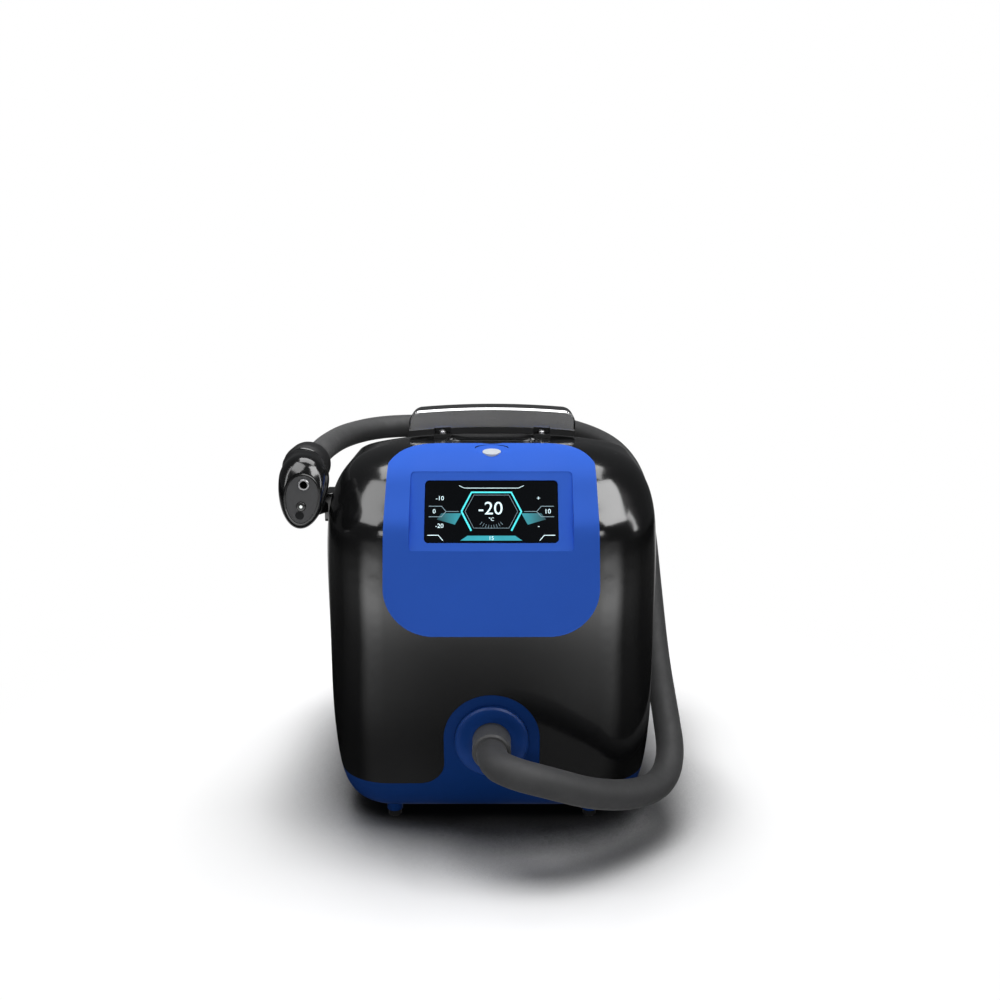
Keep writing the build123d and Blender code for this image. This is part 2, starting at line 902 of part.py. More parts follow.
def handle_band(low, high, half_length):
    """A bowed band of the handle seen from the front, between two heights over its base line."""
    crown = handle_base + handle_rise
    with BuildSketch(front(handle_front)) as band:
        with Locations((0, crown - handle_curve)):
            Circle(handle_curve + high)
            Circle(handle_curve + low, mode=Mode.SUBTRACT)
        with Locations((0, crown)):
            Rectangle(2 * half_length, 4 * handle_height, mode=Mode.INTERSECT)
    return band.sketch


notches = [(-handle_fixing_x, handle_front), (handle_fixing_x, handle_front)]
handle_feet = [(-handle_fixing_x, handle_foot_y), (handle_fixing_x, handle_foot_y)]
screw_floor = handle_base + handle_rise / 2 + notch_floor
dome_curve = (handle_screw_head**2 + handle_screw_dome**2) / (2 * handle_screw_dome)
with BuildPart() as carry_handle_grip:
    extrude(handle_band(rail_height, handle_height, handle_length / 2), amount=-handle_depth)
    fillet(
        carry_handle_grip.edges().filter_by(Axis.Y).group_by(Axis.Z)[-1],
        handle_corner,
    )
    outline_edges = carry_handle_grip.faces().filter_by(Axis.Y).edges()
    top_edges = outline_edges.filter_by(lambda edge: edge.center().Z > handle_base + handle_top)
    chamfer(top_edges, handle_top / 4)
    finger_band = handle_band(0, handle_height - handle_top, handle_length / 2 - handle_end)
    extrude(finger_band.moved(Location((0, handle_wall, 0))), amount=-handle_depth, mode=Mode.SUBTRACT)
    groove_band = handle_band(0, rail_height + groove_height, handle_length)
    extrude(groove_band, amount=-groove_depth, mode=Mode.SUBTRACT)
    with BuildSketch(level(handle_base)):
        with Locations(*notches):
            Rectangle(notch_width, 2 * notch_depth)
    extrude(amount=handle_rise + rail_height + groove_height, mode=Mode.SUBTRACT)
finish(carry_handle_grip, "carry_handle_grip")

with BuildPart() as carry_handle_rail:
    extrude(handle_band(0, rail_height, handle_length / 2), amount=-rail_depth)
    with BuildSketch(level(handle_base)):
        with Locations(*notches):
            Rectangle(notch_width, 2 * notch_depth)
    extrude(amount=overrun, mode=Mode.SUBTRACT)
    with BuildSketch(level(screw_floor)):
        with Locations(*notches):
            Rectangle(notch_width, 2 * (handle_screw_y - handle_front))
        with Locations(*handle_feet):
            Circle(handle_foot_radius)
    extrude(amount=-handle_foot_drop)
    add(seat_form.part, mode=Mode.SUBTRACT)
    with BuildSketch(level(handle_base - overrun)):
        with Locations(*handle_fixings):
            Circle(screw_radius + fit_gap)
    extrude(amount=2 * overrun, mode=Mode.SUBTRACT)
finish(carry_handle_rail, "carry_handle_rail")

with BuildPart() as handle_screws:
    with BuildSketch(level(screw_floor)):
        with Locations(*handle_fixings):
            Circle(handle_screw_head)
    extrude(amount=handle_screw_dome)
    with BuildPart(mode=Mode.PRIVATE) as domes:
        with Locations(level(screw_floor + 2 * handle_screw_dome - dome_curve)):
            with Locations(*handle_fixings):
                Sphere(dome_curve)
        split(bisect_by=level(screw_floor + handle_screw_dome), keep=Keep.TOP)
    add(domes.part)
    with BuildSketch(level(screw_floor)):
        with Locations(*handle_fixings):
            Circle(screw_radius - seat_gap)
    extrude(amount=-overrun / 2)
finish(handle_screws, "handle_screws")
# Port: a blue ring in the base's arch, a rubber collar, and the spigot for hose and air duct
def port_turned(profile):
    """A body turned about the port's own axis from a profile of radius and depth behind the front."""
    with BuildPart() as turned:
        with BuildSketch(side(0, 0, port_height)):
            with BuildLine():
                Polyline(*[(depth, radius) for radius, depth in profile], close=True)
            make_face()
        revolve(axis=Axis((housing_x, housing_y, port_height), (0, 1, 0)))
    return turned.part


ring_bore = collar_radius + fit_gap
ring_round = 2 * port_flange / 3
with BuildPart() as port_ring:
    add(
        port_turned(
            (
                (ring_bore, port_ring_back),
                (port_flange_radius, port_ring_back),
                (port_flange_radius, port_ring_back - port_flange),
                (port_ring_radius, port_ring_back - port_flange),
                (port_ring_radius, port_ring_front + ring_round),
                (port_ring_radius - ring_round, port_ring_front),
                (port_ring_radius - 2 * ring_round, port_ring_front),
                (ring_bore + 2 * ring_round, port_ring_front + port_dish),
                (ring_bore, port_ring_front + port_dish),
            )
        )
    )
finish(port_ring, "port_ring")

with BuildPart() as hose_collar:
    add(
        port_turned(
            (
                (spigot_radius + seat_gap, collar_back),
                (collar_radius, collar_back),
                (collar_radius, collar_front + ring_round),
                (collar_radius - ring_round, collar_front),
                (hose_radius + fit_gap, collar_front),
                (hose_radius + fit_gap, collar_front + hose_seat),
                (spigot_radius + seat_gap, collar_front + hose_seat),
            )
        )
    )
finish(hose_collar, "hose_collar")

duct_inner = duct_radius - duct_wall
with BuildPart() as port_spigot:
    add(
        port_turned(
            (
                (spigot_radius - spigot_wall, collar_front + hose_seat),
                (spigot_radius, collar_front + hose_seat),
                (spigot_radius, port_ring_back),
                (duct_inner - seat_gap, duct_mouth),
                (duct_inner - seat_gap, duct_mouth + duct_lap),
                (duct_inner - seat_gap - spigot_wall, duct_mouth + duct_lap),
                (duct_inner - seat_gap - spigot_wall, duct_mouth),
                (spigot_radius - spigot_wall, port_ring_back),
            )
        )
    )
finish(port_spigot, "port_spigot")

duct_points = (
    (0, duct_mouth, port_height),
    (0, duct_y, port_height),
    (0, duct_y, box_bottom),
)
with BuildPart() as air_duct:
    duct_line = tube_path(duct_points, duct_bend)
    with BuildSketch(front(duct_mouth, 0, port_height)):
        Circle(duct_radius)
        Circle(duct_inner, mode=Mode.SUBTRACT)
    sweep(path=duct_line)
finish(air_duct, "air_duct")

# Chassis plate on the base's posts, with its screws
with BuildPart() as chassis_plate:
    with BuildSketch(level(chassis_level)):
        with Locations((0, chassis_y)):
            RectangleRounded(chassis_width, chassis_depth, chassis_corner)
        with Locations(*tab_places):
            Circle(tab_post_radius + 2 * fit_gap, mode=Mode.SUBTRACT)
        with Locations(*chassis_places):
            Circle(screw_radius + fit_gap, mode=Mode.SUBTRACT)
    extrude(amount=chassis_thickness)
finish(chassis_plate, "chassis_plate")

floor_level = chassis_level + chassis_thickness
with BuildPart() as chassis_screws:
    add(screw_set(level(floor_level), chassis_places, screw_head, post_root + screw_head - floor_level))
finish(chassis_screws, "chassis_screws")

# Compressor on three rubber grommets, with its suction accumulator
grommet_level = floor_level + grommet_height
grommet_angles = (90.0, 210.0, 330.0)
grommet_places = [
    (
        compressor_x + grommet_circle * math.cos(math.radians(angle)),
        compressor_y + grommet_circle * math.sin(math.radians(angle)),
    )
    for angle in grommet_angles
]
with BuildPart() as compressor_grommets:
    with BuildSketch(level(floor_level)):
        with Locations(*grommet_places):
            Circle(grommet_radius)
    extrude(amount=grommet_height)
    with BuildSketch(level(floor_level + grommet_height / 3)):
        with Locations(*grommet_places):
            Circle(grommet_radius)
            Circle(grommet_radius - compressor_base, mode=Mode.SUBTRACT)
    extrude(amount=grommet_height / 3, mode=Mode.SUBTRACT)
finish(compressor_grommets, "compressor_grommets")

with BuildPart() as compressor:
    with BuildSketch(level(grommet_level)):
        with Locations(*grommet_places):
            Circle(grommet_radius + compressor_base)
        make_hull()
    extrude(amount=compressor_base)
    with BuildPart(mode=Mode.PRIVATE) as compressor_shell:
        with BuildSketch(level(grommet_level + compressor_base)):
            with Locations((compressor_x, compressor_y)):
                Circle(compressor_radius)
        extrude(amount=compressor_height)
        fillet(compressor_shell.edges().filter_by(GeomType.CIRCLE).sort_by(Axis.Z)[-1], compressor_dome)
        fillet(compressor_shell.edges().filter_by(GeomType.CIRCLE).sort_by(Axis.Z)[0], compressor_dome / 2)
    add(compressor_shell.part)
    compressor_top = grommet_level + compressor_base + compressor_height
finish(compressor, "compressor")

accumulator_gap = math.hypot(accumulator_x - compressor_x, accumulator_y - compressor_y)
strap_x = (accumulator_x + compressor_x) / 2
strap_y = (accumulator_y + compressor_y) / 2
strap_angle = math.degrees(math.atan2(accumulator_y - compressor_y, accumulator_x - compressor_x))
with BuildPart() as accumulator:
    with BuildSketch(level(accumulator_level)):
        with Locations((accumulator_x, accumulator_y)):
            Circle(accumulator_radius)
    extrude(amount=accumulator_height)
    fillet(accumulator.edges().filter_by(GeomType.CIRCLE), accumulator_radius / 2)
    with BuildSketch(level(accumulator_level + accumulator_height / 3)):
        with Locations(Location((strap_x, strap_y, 0), (0, 0, strap_angle))):
            Rectangle(accumulator_gap, accumulator_radius)
    extrude(amount=accumulator_height / 3)
    with BuildSketch(level(accumulator_level)):
        with Locations((compressor_x, compressor_y)):
            Circle(compressor_radius + seat_gap)
    extrude(amount=accumulator_height, mode=Mode.SUBTRACT)
finish(accumulator, "accumulator")

# Condenser with its fan, shroud and motor
condenser_low = condenser_level - condenser_height / 2
condenser_back = condenser_front + condenser_depth
with BuildPart() as condenser_coil:
    with BuildSketch(front(condenser_back, condenser_x, condenser_level)):
        Rectangle(condenser_width, condenser_height)
    extrude(amount=condenser_depth)
    for face, turn in ((condenser_front, -1), (condenser_back, 1)):
        with BuildSketch(front(face, condenser_x, condenser_level)):
            with GridLocations(0, condenser_height / (condenser_fins + 1), 1, condenser_fins):
                Rectangle(condenser_width - 2 * fin_gap, condenser_height / (condenser_fins + 1) - fin_wall)
        extrude(amount=turn * fin_cut, mode=Mode.SUBTRACT)
    with BuildSketch(front(condenser_front, condenser_x)):
        with Locations(
            (-(condenser_width - fin_gap) / 2, (floor_level + condenser_low) / 2),
            ((condenser_width - fin_gap) / 2, (floor_level + condenser_low) / 2),
        ):
            Rectangle(fin_gap, condenser_low - floor_level)
    extrude(amount=-condenser_depth / 2)
finish(condenser_coil, "condenser_coil")

fan_plane = front(fan_hub_front + fan_hub_depth, condenser_x, condenser_level)
tip_radius = fan_radius + fan_tip_gap
spider_front = fan_hub_front - fan_motor_gap - shroud_plate
with BuildPart() as fan_shroud:
    with BuildSketch(front(condenser_front, condenser_x, condenser_level)):
        Rectangle(condenser_width, condenser_height)
        Circle(tip_radius, mode=Mode.SUBTRACT)
    extrude(amount=shroud_plate)
    with BuildSketch(front(condenser_front, condenser_x, condenser_level)):
        Circle(tip_radius + shroud_wall)
        Circle(tip_radius, mode=Mode.SUBTRACT)
    extrude(amount=condenser_front - spider_front)
    with BuildSketch(front(spider_front + shroud_plate, condenser_x, condenser_level)):
        Circle(fan_motor_radius)
        with PolarLocations(0, shroud_arms):
            with Locations(((fan_motor_radius + tip_radius) / 2, 0)):
                Rectangle(tip_radius - fan_motor_radius + shroud_wall, shroud_wall * 3)
        Circle(2 * shaft_radius, mode=Mode.SUBTRACT)
    extrude(amount=shroud_plate)
finish(fan_shroud, "fan_shroud")

with BuildPart() as fan_motor:
    with BuildSketch(front(spider_front, condenser_x, condenser_level)):
        Circle(fan_motor_radius)
    extrude(amount=fan_motor_depth)
    chamfer(fan_motor.faces().sort_by(Axis.Y)[0].edges(), fan_motor_radius / 8)
    with BuildSketch(front(spider_front, condenser_x, condenser_level)):
        Circle(shaft_radius + shaft_gap)
    extrude(amount=fan_motor_depth / 2, mode=Mode.SUBTRACT)
finish(fan_motor, "fan_motor")

blade_root = Plane((fan_hub_radius - shroud_wall, 0, fan_hub_depth / 2), x_dir=(0, 1, 0), z_dir=(1, 0, 0))
blade_tip = Plane((fan_radius, 0, fan_hub_depth / 2), x_dir=(0, 1, 0), z_dir=(1, 0, 0))
with BuildPart() as fan_blade:
    with BuildSketch(blade_root) as root:
        Rectangle(fan_root_chord, fan_blade_thickness, rotation=fan_root_pitch)
    with BuildSketch(blade_tip) as tip:
        Rectangle(fan_tip_chord, fan_blade_thickness, rotation=fan_tip_pitch)
    loft([root.sketch, tip.sketch])
    with BuildSketch() as tip_round:
        Circle(fan_radius)
    extrude(amount=fan_hub_depth, mode=Mode.INTERSECT)

with BuildPart() as condenser_fan:
    with BuildSketch(fan_plane):
        Circle(fan_hub_radius)
    extrude(amount=fan_hub_depth)
    with BuildSketch(fan_plane):
        Circle(shaft_radius)
    extrude(amount=fan_hub_depth + fan_motor_gap + shroud_plate + fan_motor_depth / 3)
    with Locations(fan_plane):
        with PolarLocations(0, fan_blades_count):
            add(fan_blade.part)
finish(condenser_fan, "condenser_fan")

# Evaporator in its insulated box on a stand
box_top = box_bottom + box_height
with BuildPart() as evaporator_box:
    with BuildSketch(level(box_bottom)):
        with Locations((0, box_y)):
            RectangleRounded(box_width, box_depth, box_wall)
    extrude(amount=box_height)
    with BuildSketch(level(box_bottom + box_wall)):
        with Locations((0, box_y)):
            Rectangle(box_width - 2 * box_wall, box_depth - 2 * box_wall)
    extrude(amount=box_height, mode=Mode.SUBTRACT)
    with BuildSketch(level(box_bottom)):
        with Locations((0, duct_y)):
            Circle(duct_inner)
    extrude(amount=box_wall, mode=Mode.SUBTRACT)
    with BuildSketch(side(-box_width / 2 - box_wall, 0, elbow_low)):
        with Locations((elbow_y, 0)):
            Rectangle(elbow_size - 2 * elbow_wall, elbow_size - 2 * elbow_wall)
    extrude(amount=3 * box_wall, mode=Mode.SUBTRACT)
finish(evaporator_box, "evaporator_box")

with BuildPart() as evaporator_lid:
    with BuildSketch(level(box_top)):
        with Locations((0, box_y)):
            RectangleRounded(box_width, box_depth, box_wall)
    extrude(amount=box_lid)
    with BuildSketch(level(box_top)):
        with Locations((0, box_y)):
            Rectangle(box_width - 2 * box_wall - 2 * fit_gap, box_depth - 2 * box_wall - 2 * fit_gap)
    extrude(amount=-box_lid / 2)
finish(evaporator_lid, "evaporator_lid")

coil_width = coil_share * (box_width - 2 * box_wall)
coil_depth = coil_share * (box_depth - 2 * box_wall)
coil_height = coil_share * (box_height - box_wall)
coil_floor = box_bottom + box_wall
with BuildPart() as evaporator_coil:
    with BuildSketch(level(coil_floor)):
        with Locations((0, box_y)):
            Rectangle(coil_width, coil_depth)
    extrude(amount=coil_height)
    with BuildSketch(level(coil_floor + coil_height / 4)):
        with Locations((0, box_y)):
            with GridLocations(coil_width / coil_fins, 0, coil_fins, 1):
                Rectangle(coil_width / coil_fins - fin_wall, coil_depth)
    extrude(amount=coil_height, mode=Mode.SUBTRACT)
finish(evaporator_coil, "evaporator_coil")

with BuildPart() as evaporator_stand:
    with BuildSketch(level(box_bottom)):
        with Locations((0, box_y)):
            Rectangle(box_width, box_depth)
        with Locations((0, duct_y)):
            Circle(duct_radius + fit_gap, mode=Mode.SUBTRACT)
    extrude(amount=-stand_top)
    with BuildSketch(level(box_bottom - stand_top)):
        with Locations((0, box_y)):
            with GridLocations(2 * stand_leg_x, box_depth - stand_leg, 2, 2):
                Rectangle(stand_leg, stand_leg)
                Rectangle(stand_leg - 2 * stand_top, stand_leg - 2 * stand_top, mode=Mode.SUBTRACT)
    extrude(amount=floor_level + stand_top - box_bottom)
finish(evaporator_stand, "evaporator_stand")

# Blower over the box: motor, volute, wheel and the elbow down to the box
motor_level = box_top + box_lid
volute_low = motor_level + blower_motor_height
volute_top = volute_low + volute_height
with BuildPart() as blower_motor:
    with BuildSketch(level(motor_level)):
        with Locations((0, box_y)):
            Circle(blower_motor_radius)
    extrude(amount=blower_motor_height)
    with BuildSketch(level(volute_low)):
        with Locations((0, box_y)):
            Circle(shaft_radius + shaft_gap)
    extrude(amount=-blower_motor_height / 2, mode=Mode.SUBTRACT)
finish(blower_motor, "blower_motor")


def volute_outline(inset):
    """The volute seen from above, drawn in by inset; its outlet looks left."""
    with BuildSketch(level(volute_low + inset)) as outline:
        with Locations((0, box_y)):
            Circle(volute_radius - inset)
        with Locations((0, elbow_y)):
            Rectangle(volute_outlet, elbow_size - 2 * inset, align=(Align.MAX, Align.CENTER))
    return outline.sketch


with BuildPart() as blower_volute:
    extrude(volute_outline(0.0), amount=volute_height)
    extrude(volute_outline(volute_wall), amount=volute_height - 2 * volute_wall, mode=Mode.SUBTRACT)
    with BuildSketch(level(volute_low)):
        with Locations((0, box_y)):
            Circle(2 * shaft_radius)
    extrude(amount=volute_wall, mode=Mode.SUBTRACT)
    with BuildSketch(level(volute_top)):
        with Locations((0, box_y)):
            Circle(volute_inlet_radius)
    extrude(amount=-volute_wall, mode=Mode.SUBTRACT)
finish(blower_volute, "blower_volute")

wheel_low = volute_low + (volute_height - wheel_height) / 2
with BuildPart() as blower_wheel:
    with BuildSketch(level(wheel_low)):
        with Locations((0, box_y)):
            Circle(wheel_radius)
    extrude(amount=wheel_ring)
    with BuildSketch(level(wheel_low + wheel_height - wheel_ring)):
        with Locations((0, box_y)):
            Circle(wheel_radius)
            Circle(wheel_radius - wheel_blade_depth, mode=Mode.SUBTRACT)
    extrude(amount=wheel_ring)
    with BuildSketch(level(wheel_low + wheel_ring)):
        with Locations((0, box_y)):
            with PolarLocations(wheel_radius - wheel_blade_depth / 2, wheel_blades):
                Rectangle(wheel_blade_depth - wheel_blade_thickness, wheel_blade_thickness)
            Circle(3 * shaft_radius)
    extrude(amount=wheel_height - 2 * wheel_ring)
    with BuildSketch(level(volute_low - blower_motor_height / 3)):
        with Locations((0, box_y)):
            Circle(shaft_radius)
    extrude(amount=wheel_low - volute_low + blower_motor_height / 3)
finish(blower_wheel, "blower_wheel")

elbow_high = volute_low + volute_height / 2
elbow_reach = (elbow_high - elbow_low) / 2
elbow_start = volute_outlet + fit_gap
with BuildPart() as blower_elbow:
    with BuildLine(front(elbow_y)) as elbow_line:
        CenterArc((-elbow_start, (elbow_high + elbow_low) / 2), elbow_reach, quarter_turn, half_turn)
    with BuildSketch(side(-elbow_start, elbow_y, elbow_high)):
        Rectangle(elbow_size, elbow_size)
        Rectangle(elbow_size - 2 * elbow_wall, elbow_size - 2 * elbow_wall, mode=Mode.SUBTRACT)
    sweep(path=elbow_line.line)
    with BuildSketch(side(-elbow_start, elbow_y, elbow_low)):
        Rectangle(elbow_size, elbow_size)
        Rectangle(elbow_size - 2 * elbow_wall, elbow_size - 2 * elbow_wall, mode=Mode.SUBTRACT)
    extrude(amount=elbow_start - box_width / 2)
finish(blower_elbow, "blower_elbow")

# Refrigerant pipes, condensate bottle and its drain
discharge_points = (
    (discharge_x, discharge_y, compressor_top),
    (discharge_x, discharge_y, discharge_level),
    (discharge_turn_x, header_y, discharge_level),
    (condenser_x - condenser_width / 2, header_y, discharge_level),
)
with BuildPart() as discharge_pipe:
    with BuildSketch(level(compressor_top)):
        with Locations((discharge_x, discharge_y)):
            Circle(pipe_radius)
    sweep(path=tube_path(discharge_points, pipe_bend))
finish(discharge_pipe, "discharge_pipe")

suction_points = (
    (-box_width / 2, suction_y, suction_level),
    (accumulator_x, suction_y, suction_level),
    (accumulator_x, accumulator_y, suction_level),
    (accumulator_x, accumulator_y, accumulator_level + accumulator_height),
)
with BuildPart() as suction_pipe:
    with BuildSketch(side(-box_width / 2, suction_y, suction_level)):
        Circle(pipe_radius)
    sweep(path=tube_path(suction_points, pipe_bend))
finish(suction_pipe, "suction_pipe")

drier_top = drier_level + drier_height
liquid_points = (
    (condenser_x - condenser_width / 2, liquid_y, liquid_level),
    (drier_x, liquid_y, liquid_level),
    (drier_x, liquid_y, drier_level),
)
capillary_points = (
    (drier_x, liquid_y, drier_top),
    (drier_x, liquid_y, capillary_level),
    (drier_x, box_y + box_depth / 2, capillary_level),
)
with BuildPart() as liquid_line:
    with BuildSketch(side(condenser_x - condenser_width / 2, liquid_y, liquid_level)):
        Circle(capillary_radius)
    sweep(path=tube_path(liquid_points, pipe_bend / 2))
    with BuildSketch(level(drier_level)):
        with Locations((drier_x, liquid_y)):
            Circle(drier_radius)
    extrude(amount=drier_height)
    round_edges = liquid_line.edges().filter_by(GeomType.CIRCLE)
    fillet(round_edges.filter_by(lambda edge: edge.radius > drier_radius - fit_gap), drier_radius / 2)
    with BuildSketch(level(drier_top)):
        with Locations((drier_x, liquid_y)):
            Circle(capillary_radius)
    sweep(path=tube_path(capillary_points, pipe_bend))
finish(liquid_line, "liquid_line")

bottle_top = floor_level + bottle_height
with BuildPart() as condensate_bottle:
    with BuildSketch(level(floor_level)):
        with Locations((bottle_x, bottle_y)):
            Circle(bottle_radius)
    extrude(amount=bottle_height)
    with BuildSketch(level(floor_level + bottle_wall)):
        with Locations((bottle_x, bottle_y)):
            Circle(bottle_radius - bottle_wall)
    extrude(amount=bottle_height - 2 * bottle_wall, mode=Mode.SUBTRACT)
    with BuildSketch(level(bottle_top)):
        with Locations((bottle_x, bottle_y)):
            Circle(pipe_radius - seat_gap)
    extrude(amount=-bottle_wall, mode=Mode.SUBTRACT)
finish(condensate_bottle, "condensate_bottle")

drain_points = (
    (-box_width / 2, bottle_y, drain_level),
    (bottle_x, bottle_y, drain_level),
    (bottle_x, bottle_y, bottle_top),
)
with BuildPart() as drain_tube:
    with BuildSketch(side(-box_width / 2, bottle_y, drain_level)):
        Circle(pipe_radius)
    sweep(path=tube_path(drain_points, pipe_bend))
finish(drain_tube, "drain_tube")

# Control board on the right wall and power supply on the chassis
board_middle = board_bottom + board_height / 2
with BuildPart() as control_board:
    with BuildSketch(side(board_x, board_y, board_middle)):
        Rectangle(board_length, board_height)
    extrude(amount=board_thickness)
    with BuildSketch(side(board_x, board_y, board_middle)):
        for y_share, z_share, length_share, height_share in board_part_shares:
            with Locations((y_share * board_length, z_share * board_height)):
                Rectangle(length_share * board_length, height_share * board_height)
    extrude(amount=-board_part_height)
finish(control_board, "control_board")

slot_pitch = supply_length / (supply_slots + 2)
with BuildPart() as power_supply:
    with BuildSketch(level(floor_level)):
        with Locations((supply_x, supply_y)):
            Rectangle(supply_width, supply_length)
    extrude(amount=supply_height)
    with BuildSketch(level(floor_level + supply_height)):
        with Locations((supply_x, supply_y)):
            with GridLocations(0, slot_pitch, 1, supply_slots):
                Rectangle(supply_width / 2, slot_pitch / 3)
    extrude(amount=-supply_height / 8, mode=Mode.SUBTRACT)
finish(power_supply, "power_supply")

# Mains inlet with its three pins
with BuildPart() as mains_inlet:
    with BuildSketch(front(inlet_face, inlet_x, inlet_level)):
        RectangleRounded(inlet_flange_width, inlet_flange_height, inlet_flange)
    extrude(amount=-inlet_flange)
    with BuildSketch(front(inlet_face, inlet_x, inlet_level)):
        Rectangle(inlet_body_width, inlet_body_height)
    extrude(amount=inlet_body_depth)
    with BuildSketch(front(inlet_face + inlet_flange, inlet_x, inlet_level)) as socket:
        Rectangle(inlet_socket_width, inlet_socket_height)
        chamfer(socket.vertices().group_by(Axis.Y)[-1], inlet_socket_chamfer)
    extrude(amount=inlet_socket_depth, mode=Mode.SUBTRACT)
    with BuildSketch(front(inlet_face + inlet_flange - inlet_socket_depth, inlet_x, inlet_level)):
        with Locations((-inlet_pin_x, -inlet_pin_z), (inlet_pin_x, -inlet_pin_z), (0, inlet_pin_z)):
            Rectangle(inlet_pin_width, inlet_pin_height)
    extrude(amount=inlet_pin_inset - inlet_socket_depth)
finish(mains_inlet, "mains_inlet")

# Mains switch: its frame and the tilting rocker
rocker_hole_height = 2 * rocker_half + 2 * (rocker_out * math.sin(math.radians(rocker_tilt)) + fit_gap)
with BuildPart() as mains_switch_frame:
    with BuildSketch(front(inlet_face, rocker_x, inlet_level)):
        RectangleRounded(rocker_bezel_width, rocker_bezel_height, rocker_bezel)
    extrude(amount=-rocker_bezel)
    with BuildSketch(front(inlet_face, rocker_x, inlet_level)):
        Rectangle(rocker_bezel_width - 2 * rocker_bezel, rocker_bezel_height - 2 * rocker_bezel)
    extrude(amount=rocker_body_depth)
    with BuildSketch(front(inlet_face + rocker_bezel, rocker_x, inlet_level)):
        Rectangle(rocker_width + 2 * rocker_gap, rocker_hole_height)
    extrude(amount=rocker_body_depth, mode=Mode.SUBTRACT)
finish(mains_switch_frame, "mains_switch_frame")

pivot_depth = inlet_face + rocker_bezel - rocker_pivot_back
rocker_profile = (
    (-rocker_pivot_back, -rocker_root_half),
    (rocker_out, -rocker_half),
    (rocker_valley, 0),
    (rocker_out, rocker_half),
    (-rocker_pivot_back, rocker_root_half),
)
with BuildPart() as mains_rocker:
    with BuildSketch(side(rocker_x - rocker_width / 2, pivot_depth, inlet_level)):
        Polygon(*rocker_profile, rotation=-rocker_tilt, align=None)
    extrude(amount=rocker_width)
finish(mains_rocker, "mains_rocker")
# Hose: straight runs joined by tangent arcs, from the port round the right side and over the top
def bend_radius(before, corner, after):
    """The arc at one corner: a set share of the shorter run on either side of it."""
    first = Vector(*corner) - Vector(*before)
    second = Vector(*after) - Vector(*corner)
    turn = math.radians(first.get_angle(second))
    return bend_share * min(first.length, second.length) / math.tan(turn / 2)


hose_radii = [
    bend_radius(hose_route[i], hose_route[i + 1], hose_route[i + 2]) for i in range(len(hose_route) - 2)
]
print("hose radii, mm:", [round(radius, 1) for radius in hose_radii])
with BuildPart() as hose:
    hose_line = tube_path(hose_route, hose_radii)
    print("hose length, mm:", round(sum(edge.length for edge in hose_line.edges()), 1))
    with BuildSketch(front(hose_route[0][1], 0, port_height)):
        Circle(hose_radius)
        Circle(hose_radius - hose_wall, mode=Mode.SUBTRACT)
    sweep(path=hose_line)
finish(hose, "hose")


# Handpiece: an egg-shaped shell, lofted on upright planes that lean a little to the left
def handpiece_plane(depth):
    """A plane across the handpiece at a depth behind the housing's front, leaning with it."""
    lean = math.radians(handpiece_tilt)
    return Plane(
        (housing_x + handpiece_x, housing_y + depth, handpiece_level),
        x_dir=(math.cos(lean), 0, -math.sin(lean)),
        z_dir=(0, -1, 0),
    )


def egg_face(share, inset, depth):
    """One section of the handpiece, drawn in by inset."""
    depth_share, x_share, middle_share, half_share, up_share, down_share = share
    middle = (x_share * handpiece_width, middle_share * handpiece_height)
    half = half_share * handpiece_width - inset
    with BuildSketch(handpiece_plane(depth)) as egg:
        with BuildLine():
            for rise_share, start in ((up_share, 0), (down_share, half_turn)):
                rise = rise_share * handpiece_height - inset
                EllipticalCenterArc(middle, half, rise, start_angle=start, arc_size=half_turn)
        make_face()
    return egg.sketch


def egg_depth(share, near, far):
    """The depth of one section when the handpiece's length runs from near to far."""
    return near + share[0] * (far - near)


handpiece_back = handpiece_front + handpiece_depth
face_back = handpiece_front + face_sunk + face_thickness
front_share = handpiece_shares[0]
neck_plane = front(neck_front, neck_x, neck_level)
with BuildPart() as handpiece_shell:
    loft(
        [
            egg_face(share, 0.0, egg_depth(share, handpiece_front, handpiece_back))
            for share in handpiece_shares
        ]
    )
    face_seat = egg_face(front_share, handpiece_rim, handpiece_front)
    extrude(face_seat, amount=handpiece_front - face_back, mode=Mode.SUBTRACT)
    loft(
        [
            egg_face(
                share,
                handpiece_ledge if share is front_share else handpiece_wall,
                egg_depth(share, handpiece_front, handpiece_back - handpiece_wall),
            )
            for share in handpiece_shares
        ],
        mode=Mode.SUBTRACT,
    )
    with BuildSketch(neck_plane):
        Circle(neck_bore)
    extrude(amount=2 * handpiece_wall, both=True, mode=Mode.SUBTRACT)
finish(handpiece_shell, "handpiece_shell")

with BuildPart() as handpiece_face_plate:
    extrude(egg_face(front_share, handpiece_rim + fit_gap, face_back), amount=face_thickness)
    with BuildSketch(handpiece_plane(face_back)):
        with Locations(*handpiece_post_places):
            Circle(screw_radius)
    extrude(amount=face_back - handpiece_board_front)
    with BuildSketch(handpiece_plane(face_back)):
        with Locations((nozzle_x, nozzle_up)):
            Circle(nozzle_ring_radius + seat_gap)
        with Locations((trigger_x, trigger_up)):
            Circle(trigger_radius + fit_gap)
    extrude(amount=2 * face_thickness, mode=Mode.SUBTRACT)
    with BuildSketch(handpiece_plane(face_back - face_thickness)):
        with Locations((lens_x, lens_up)):
            Circle(lens_radius + seat_gap)
    extrude(amount=-lens_thickness, mode=Mode.SUBTRACT)
finish(handpiece_face_plate, "handpiece_face_plate")

